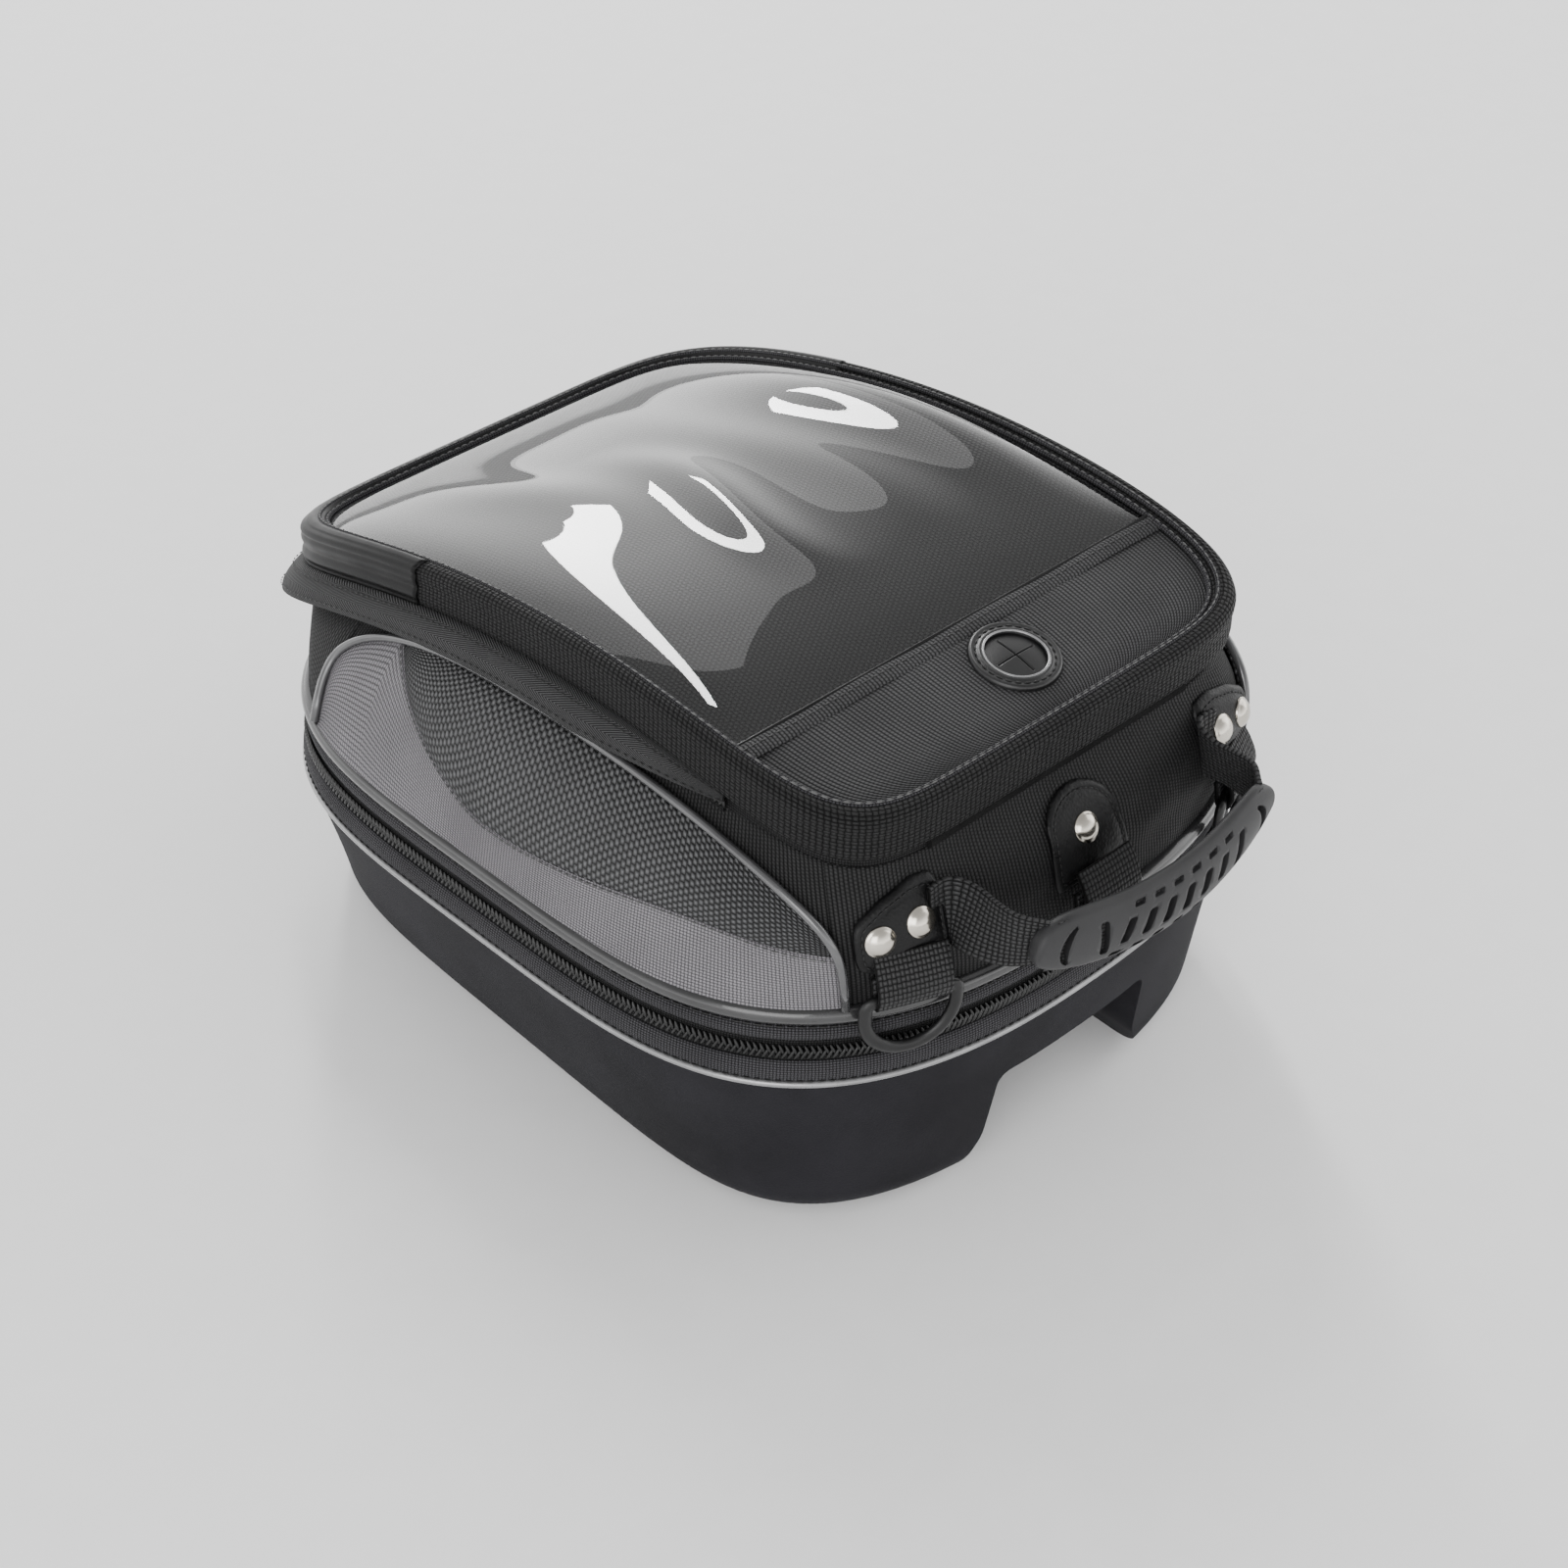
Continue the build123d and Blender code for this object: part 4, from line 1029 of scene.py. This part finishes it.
def rivets():
    """Domed nickel caps in one piece."""
    caps = []
    for number, (station, share) in enumerate(RIVETS):
        at = np.array([station, station + 0.02, station]) + FRONT
        here, beside, above = wall_point(np.array([share, share, share + 0.01]), 2.95, at)
        along = unit(beside - here)
        out = unit(np.cross(along, above - here))
        axes = Axes(here, along, np.cross(out, along), out)
        caps.append(turned(f"rivet_{number}", RIVET_DOME, axes, 40))
    piece(join("rivet_caps", caps), NICKEL, "upper_body", "rivets", slot="rivet_metal")


def join(name, things):
    """One object from several, which are taken away."""
    work = bmesh.new()
    for thing in things:
        work.from_mesh(thing.data)
        bpy.data.objects.remove(thing)
    mesh = bpy.data.meshes.new(name)
    work.to_mesh(mesh)
    work.free()
    mesh.shade_smooth()
    return placed(name, mesh)


def rounded(corners, radius, steps=6):
    """Closed outline through corners, each rounded off."""
    points = []
    count = len(corners)
    for i, corner in enumerate(corners):
        corner = np.array(corner, float)
        before = np.array(corners[i - 1], float) - corner
        after = np.array(corners[(i + 1) % count], float) - corner
        cut = min(radius, 0.45 * np.linalg.norm(before), 0.45 * np.linalg.norm(after))
        a, b = corner + unit(before) * cut, corner + unit(after) * cut
        for t in np.linspace(0, 1, steps):
            points.append((1 - t) ** 2 * a + 2 * t * (1 - t) * corner + t**2 * b)
    return np.array(points)


PATCH_PROFILE = (  # from the middle out: share of the patch's size, distance from the wall
    (0.03, 2.9), (0.3, 2.95), (0.6, 2.9), (0.8, 2.85), (0.86, 2.35), (0.9, 2.7), (0.96, 2.6), (1.0, 2.1),
    (1.01, 1.2), (0.99, 0.6),
)


def leather_patch(name, corners, node, radius):
    """Leather patch on the wall. Its corners are stations from the handle end's middle, and shares."""
    edge = rounded(corners, radius)
    closed = np.concatenate([edge, edge[:1]])
    middle = edge.mean(0)
    rows = []
    for size, out in PATCH_PROFILE:
        at = middle + (closed - middle) * size
        rows.append(wall_point(at[:, 1], out, FRONT + at[:, 0]))
    thing = surface(name, rows, wrap_along=True, inside=(0, 0, 110))
    piece(thing, LEATHER, "upper_body", node, slot="leather")
    at = middle + (closed[:-1] - middle) * 0.86
    row = wall_point(at[:, 1], 2.6, FRONT + at[:, 0])
    seam(f"{name}_stitches", row, level_out(row), THREAD, "upper_body", closed=True, pitch=2.4,
         size=(1.7, 0.55, 0.5))


def patches():
    """A patch at each corner of the handle end, and an arched one in its middle."""
    shape = ((3.08, 0.47), (3.16, 0.37), (4.25, 0.31), (4.68, 0.38), (4.68, 0.72), (4.2, 0.87), (3.6, 0.955),
             (3.2, 0.945), (3.06, 0.84))
    for side, sign in (("left", -1), ("right", 1)):
        corners = [(sign * s, share) for s, share in shape]
        leather_patch(f"{side}_leather_patch", corners, f"{side}_corner_patch", 0.12)
    tongue = [(-0.84, 0.32), (0.84, 0.32), (0.84, 0.45), (0.76, 0.72)]
    arch = [(0.76 * math.cos(a), 0.74 + 0.22 * math.sin(a)) for a in np.linspace(0.2, math.pi - 0.2, 9)]
    corners = tongue + arch + [(-0.76, 0.72), (-0.84, 0.45)]
    leather_patch("middle_leather_patch", corners, "middle_patch", 0.06)


def ring_axes(shift):
    """Middle of a ring's bar, with its directions along the bar and outwards."""
    x, y = ring(BAND_TOP, D_OUT, FRONT + np.array([shift, shift + 0.05]))
    along = unit(np.array([x[1] - x[0], y[1] - y[0], 0.0]))
    return np.array([x[0], y[0], BASE_DEPTH + D_BAR_Z]), along, np.cross(along, UPWARDS)


def rings():
    """Three D-rings, each with its webbing loop."""
    for name, shift in (("left", -CORNER_STATION), ("right", CORNER_STATION), ("middle", 0.0)):
        middle, along, out = ring_axes(shift)
        half, ear = D_HALF_WIDTH, 2.6
        turn = [(half - ear + ear * math.sin(a), ear * math.cos(a) - ear) for a in np.linspace(0.3, 1.5, 5)]
        flat = [(ear - half, 0.0), (half - ear, 0.0), *turn]
        flat += [(half * math.cos(a), -D_LEG - half * math.sin(a)) for a in np.linspace(0, math.pi, 33)]
        flat += [(-x, z) for x, z in reversed(turn)]
        path = np.array([middle + along * x + (0, 0, z) for x, z in dense(flat)])
        cord(f"{name}_ring", path, 1.65, RING_PLASTIC, f"{name}_d_ring", f"{name}_d_ring",
             slot="ring_plastic", closed=True, up=tuple(out), sides=14, flat=1.4)
        loop(name, middle, along, out)


def dense(flat, pitch=1.0):
    """Closed flat outline with a point at least every pitch."""
    points = []
    for a, b in zip(flat, flat[1:] + flat[:1]):
        count = max(1, int(math.dist(a, b) / pitch))
        for i in range(count):
            points.append(tuple(p + (q - p) * i / count for p, q in zip(a, b)))
    return points


def loop(name, middle, along, out):
    """Webbing that comes from under the patch, round the ring's bar and back."""
    wrap = 2.9
    profile = [(-3.2, 16.0), (-0.2, 12.0), (wrap * 0.9, 6.5), (wrap + 0.6, 2.5)]
    profile += [(wrap * math.cos(a), -wrap * math.sin(a)) for a in np.linspace(0, math.pi, 9)]
    profile += [(-wrap - 0.4, 3.0), (-wrap - 1.2, 7.0)]
    fine = smooth_path(profile, 60)
    width = np.linspace(-12.5, 12.5, 13)
    edge = 0.25 * np.cos(width / 12.5 * math.pi / 2)
    rows = [[middle + along * w + out * (d + e) + np.array([0, 0, z]) for d, z in fine]
            for w, e in zip(width, edge)]
    thing = surface(f"{name}_webbing_loop", rows, thickness=1.5, inside=tuple(middle))
    piece(thing, WEBBING, "upper_body", f"{name}_ring_loop", slot="webbing")


def smooth_path(points, count):
    """Catmull-Rom curve through points."""
    points = np.asarray(points, float)
    longer = np.concatenate([2 * points[:1] - points[1:2], points, 2 * points[-1:] - points[-2:-1]])
    made = []
    for place in np.linspace(0, len(points) - 1.0001, count):
        i, t = int(place), place - int(place)
        a, b, c, d = longer[i:i + 4]
        square, cube = 2 * a - 5 * b + 4 * c - d, 3 * b - a - 3 * c + d
        made.append(0.5 * (2 * b + (c - a) * t + square * t**2 + cube * t**3))
    return np.array(made)


# Handle

def grip_frame(share):
    """Middle of the grip at a share of its length, with its directions along, up and out."""
    def at(s):
        bow = 1 - s**2
        return np.array([GRIP_HALF_LENGTH * s, GRIP_END_Y - GRIP_BOW * bow, GRIP_Z - GRIP_SAG * bow])

    along = unit(at(share + 0.01) - at(share - 0.01))
    out = unit(np.cross(along, UPWARDS))
    return at(share), along, np.cross(out, along), out


def grip_half(share):
    """Half height of the grip at a share of its length: full in the middle, rounded at the ends."""
    return GRIP_WIDTH / 2 * (1 - 0.12 * share**2) * max(0.0, 1 - abs(share) ** 9) ** 0.4


def handle():
    """Moulded grip with its slots, the webbing inside it and the straps that carry it."""
    rows = []
    shares = np.sin(np.linspace(-math.pi / 2, math.pi / 2, 81)) * 0.999
    for angle in np.linspace(0, 2 * math.pi, 33):
        row = []
        for share in shares:
            middle, _, up, out = grip_frame(share)
            half = max(0.4, grip_half(share))
            c, s = math.cos(angle), math.sin(angle)
            tall = math.copysign(abs(s) ** 0.75, s) * half
            deep = math.copysign(abs(c) ** 0.6, c) * GRIP_THICKNESS / 2 * min(1.0, 0.4 + half / 9)
            row.append(middle + up * tall + out * (deep - 0.012 * tall**2))
        rows.append(row)
    grip = surface("rubber_grip", rows, wrap_across=True)
    face_out(grip, close=True)
    carve(grip)
    piece(grip, GRIP_RUBBER, "handle", "handle_grip", slot="grip_rubber")
    inner_strap()
    straps()


def slots():
    """Share of the grip's length, height and outline of each slot: crescents, slanted slots and ovals."""
    cuts = []
    for share in (-0.78, 0.78):
        cuts.append((share, 0.0, crescent(math.copysign(1, share))))
    for share in (-0.57, 0.57):
        cuts.append((share, 0.0, slot_outline(3.4, 13.0, math.copysign(2.6, share))))
    for number in range(6):
        share = -0.4 + 0.16 * number
        cuts.append((share, 0.0, slot_outline(3.8, 9.0, 2.2)))
        cuts.append((share + 0.07, 8.6, slot_outline(4.4, 1.9, 0.6)))
        cuts.append((share - 0.05, -8.6, slot_outline(4.4, 1.9, 0.6)))
    return cuts


def carve(grip):
    """Cuts the slots through the grip's outer wall."""
    points, faces = [], []
    for share, height, outline in slots():
        middle, along, up, out = grip_frame(share)
        start = len(points)
        count = len(outline)
        for depth in (0.6, 6.0):
            for x, z in outline:
                points.append(middle + along * x + up * (z + height) + out * depth)
        faces += (strip_faces(2, count) + start).tolist()
        faces += [list(range(start, start + count)), list(reversed(range(start + count, start + 2 * count)))]
    mesh = bpy.data.meshes.new("cutter")
    mesh.from_pydata([metres(p) for p in points], [], faces)
    cutter = placed("cutter", mesh)
    face_out(cutter)
    cut = grip.modifiers.new("slots", "BOOLEAN")
    cut.operation = "DIFFERENCE"
    cut.solver = "EXACT"
    cut.object = cutter
    bpy.context.view_layer.update()
    made = bpy.data.meshes.new_from_object(grip.evaluated_get(bpy.context.evaluated_depsgraph_get()))
    grip.modifiers.clear()
    grip.data = made
    bpy.data.objects.remove(cutter)


def slot_outline(width, height, lean, steps=5):
    half_w, half_h = width / 2, height / 2
    corners = [(-half_w - lean / 2, -half_h), (half_w - lean / 2, -half_h),
               (half_w + lean / 2, half_h), (-half_w + lean / 2, half_h)]
    return rounded(corners, 0.35 * min(width, height), steps)


def crescent(sign, steps=12):
    turn = np.linspace(-1.15, 1.15, steps)
    outer = [(8.0 * math.cos(a) - 3.0, 8.2 * math.sin(a)) for a in turn]
    inner = [(4.6 * math.cos(a) - 3.0, 8.2 * math.sin(a)) for a in turn[::-1][1:-1]]
    return np.array([(sign * x, z) for x, z in outer + inner])


def inner_strap():
    """Webbing that runs inside the grip and shows through its slots."""
    rows = []
    for height in np.linspace(-9.5, 9.5, 7):
        frames = [grip_frame(share) for share in np.linspace(-0.9, 0.9, 41)]
        rows.append([middle + up * height + out * 0.75 for middle, _, up, out in frames])
    piece(surface("grip_core_webbing", rows), WEBBING, "handle", slot="webbing")


STRAP_RUN = ((59.5, -155.0, 126.5), (57.5, -165.0, 127.5), (51.0, -171.8, 127.2))
STRAP_BEND_START, STRAP_BEND_END = -142.0, -159.0  # along the bag, where the real straps give as the grip swings; here the straps are fixed meshes


def straps():
    """Webbing from under each corner patch to the grip, turning as it goes."""
    wall = wall_point(np.array([0.66]), 1.4, np.array([FRONT + 3.35]))[0]
    lead = wall_point(np.array([0.68]), 3.2, np.array([FRONT + 2.95]))[0]
    path = smooth_path([wall, lead, *STRAP_RUN], 40)
    along = directions(path, closed=False)
    halves = np.interp(np.linspace(0, 1, 40), [0, 0.35, 0.75, 1], [11.5, 11.0, 9.0, 8.0])
    lean = np.interp(np.linspace(0, 1, 40), [0, 0.4, 1], [0.05, 0.35, 0.0])
    side = unit(np.cross(along, UPWARDS))
    up = np.cross(side, along)
    broad = up * np.cos(lean)[:, None] + side * np.sin(lean)[:, None]
    rows = [path + broad * (t * halves)[:, None] for t in np.linspace(-1, 1, 13)]
    start, end = (0, STRAP_BEND_START, GRIP_Z), (0, STRAP_BEND_END, GRIP_Z)
    for name, points, replaced in (("right", rows, ()), ("left", mirrored(rows), ("handle_straps",))):
        thing = surface(f"{name}_handle_strap", points, inside=(0, -150.0, GRIP_Z))
        thing.modifiers.new("thickness", "SOLIDIFY").thickness = 1.6 * MM
        piece(thing, WEBBING, ("upper_body", "handle", start, end), *replaced, slot="webbing")


# --- Stage, light and camera ---

CAMERA_AZIMUTH, CAMERA_ELEVATION, CAMERA_ROLL = -45.72, 38.76, 2.58
CAMERA_PLACE = (-0.58845, -0.57335, 0.72352)
CAMERA_LENS = 68.31


def camera():
    data = bpy.data.cameras.new("camera")
    data.lens = CAMERA_LENS
    data.sensor_width = 36.0
    thing = placed("camera", data)
    azimuth, elevation = math.radians(CAMERA_AZIMUTH), math.radians(CAMERA_ELEVATION)
    back = Vector((math.sin(azimuth) * math.cos(elevation), -math.cos(azimuth) * math.cos(elevation),
                   math.sin(elevation)))
    aim = (-back).to_track_quat("-Z", "Y").to_matrix() @ Matrix.Rotation(math.radians(CAMERA_ROLL), 3, "Z")
    thing.matrix_world = Matrix.Translation(CAMERA_PLACE) @ aim.to_4x4()
    bpy.context.scene.camera = thing


def softbox(name, place, target, size, power):
    data = bpy.data.lights.new(name, "AREA")
    data.shape = "RECTANGLE"
    data.size, data.size_y = size
    data.energy = power
    thing = placed(name, data)
    aim = (Vector(target) - Vector(place)).to_track_quat("-Z", "Y").to_matrix().to_4x4()
    thing.matrix_world = Matrix.Translation(place) @ aim


SKY_STOPS = ((0.0, 2.4), (0.3, 1.5), (0.6, 0.6), (1.0, 0.45))  # height on the sky, brightness
SKY_STRENGTH = 1.3
FLOOR_REACH = 40.0


def studio():
    """Pale floor, a sky that is brightest at the horizon, and four softboxes."""
    world = bpy.data.worlds.new("studio")
    bpy.context.scene.world = world
    world.use_nodes = True
    tree = world.node_tree
    split = tree.nodes.new("ShaderNodeSeparateXYZ")
    tree.links.new(tree.nodes.new("ShaderNodeTexCoord").outputs["Generated"], split.inputs[0])
    ramp = tree.nodes.new("ShaderNodeValToRGB")
    tree.links.new(split.outputs["Z"], ramp.inputs[0])
    elements = ramp.color_ramp.elements
    for place, _ in SKY_STOPS[1:-1]:
        elements.new(place)
    for element, (_, level) in zip(elements, SKY_STOPS):
        element.color = (level, level, level, 1)
    tree.links.new(ramp.outputs[0], tree.nodes["Background"].inputs["Color"])
    tree.nodes["Background"].inputs["Strength"].default_value = SKY_STRENGTH
    mesh = bpy.data.meshes.new("floor")
    corners = [(x * FLOOR_REACH, y * FLOOR_REACH, 0) for x, y in ((-1, -1), (1, -1), (1, 1), (-1, 1))]
    mesh.from_pydata(corners, [], [(0, 1, 2, 3)])
    mesh.materials.append(gloss("floor_paper", 0.93, 0.95, (0.7, 0.8), 20.0, 0.0))
    placed("floor", mesh)
    softbox("rear_strip", (0.893, 1.43, 1.564), (0, 0, 0.15), (0.15, 1.7), 26.0)
    softbox("rear_veil", (0.694, 2.137, 1.246), (0, 0, 0.15), (2.1, 2.4), 15.0)
    softbox("front_fill", (-1.3, -0.9, 0.9), (0, 0, 0.08), (1.0, 1.0), 14.0)
    softbox("right_fill", (1.5, -0.5, 1.0), (0, 0, 0.1), (1.1, 1.3), 7.0)


finish_cad_nodes()
mats()
zip_band()
body_walls()
lid_top()
lid_edge()
patches()
rivets()
rings()
handle()
camera()
studio()

bpy.context.view_layer.update()
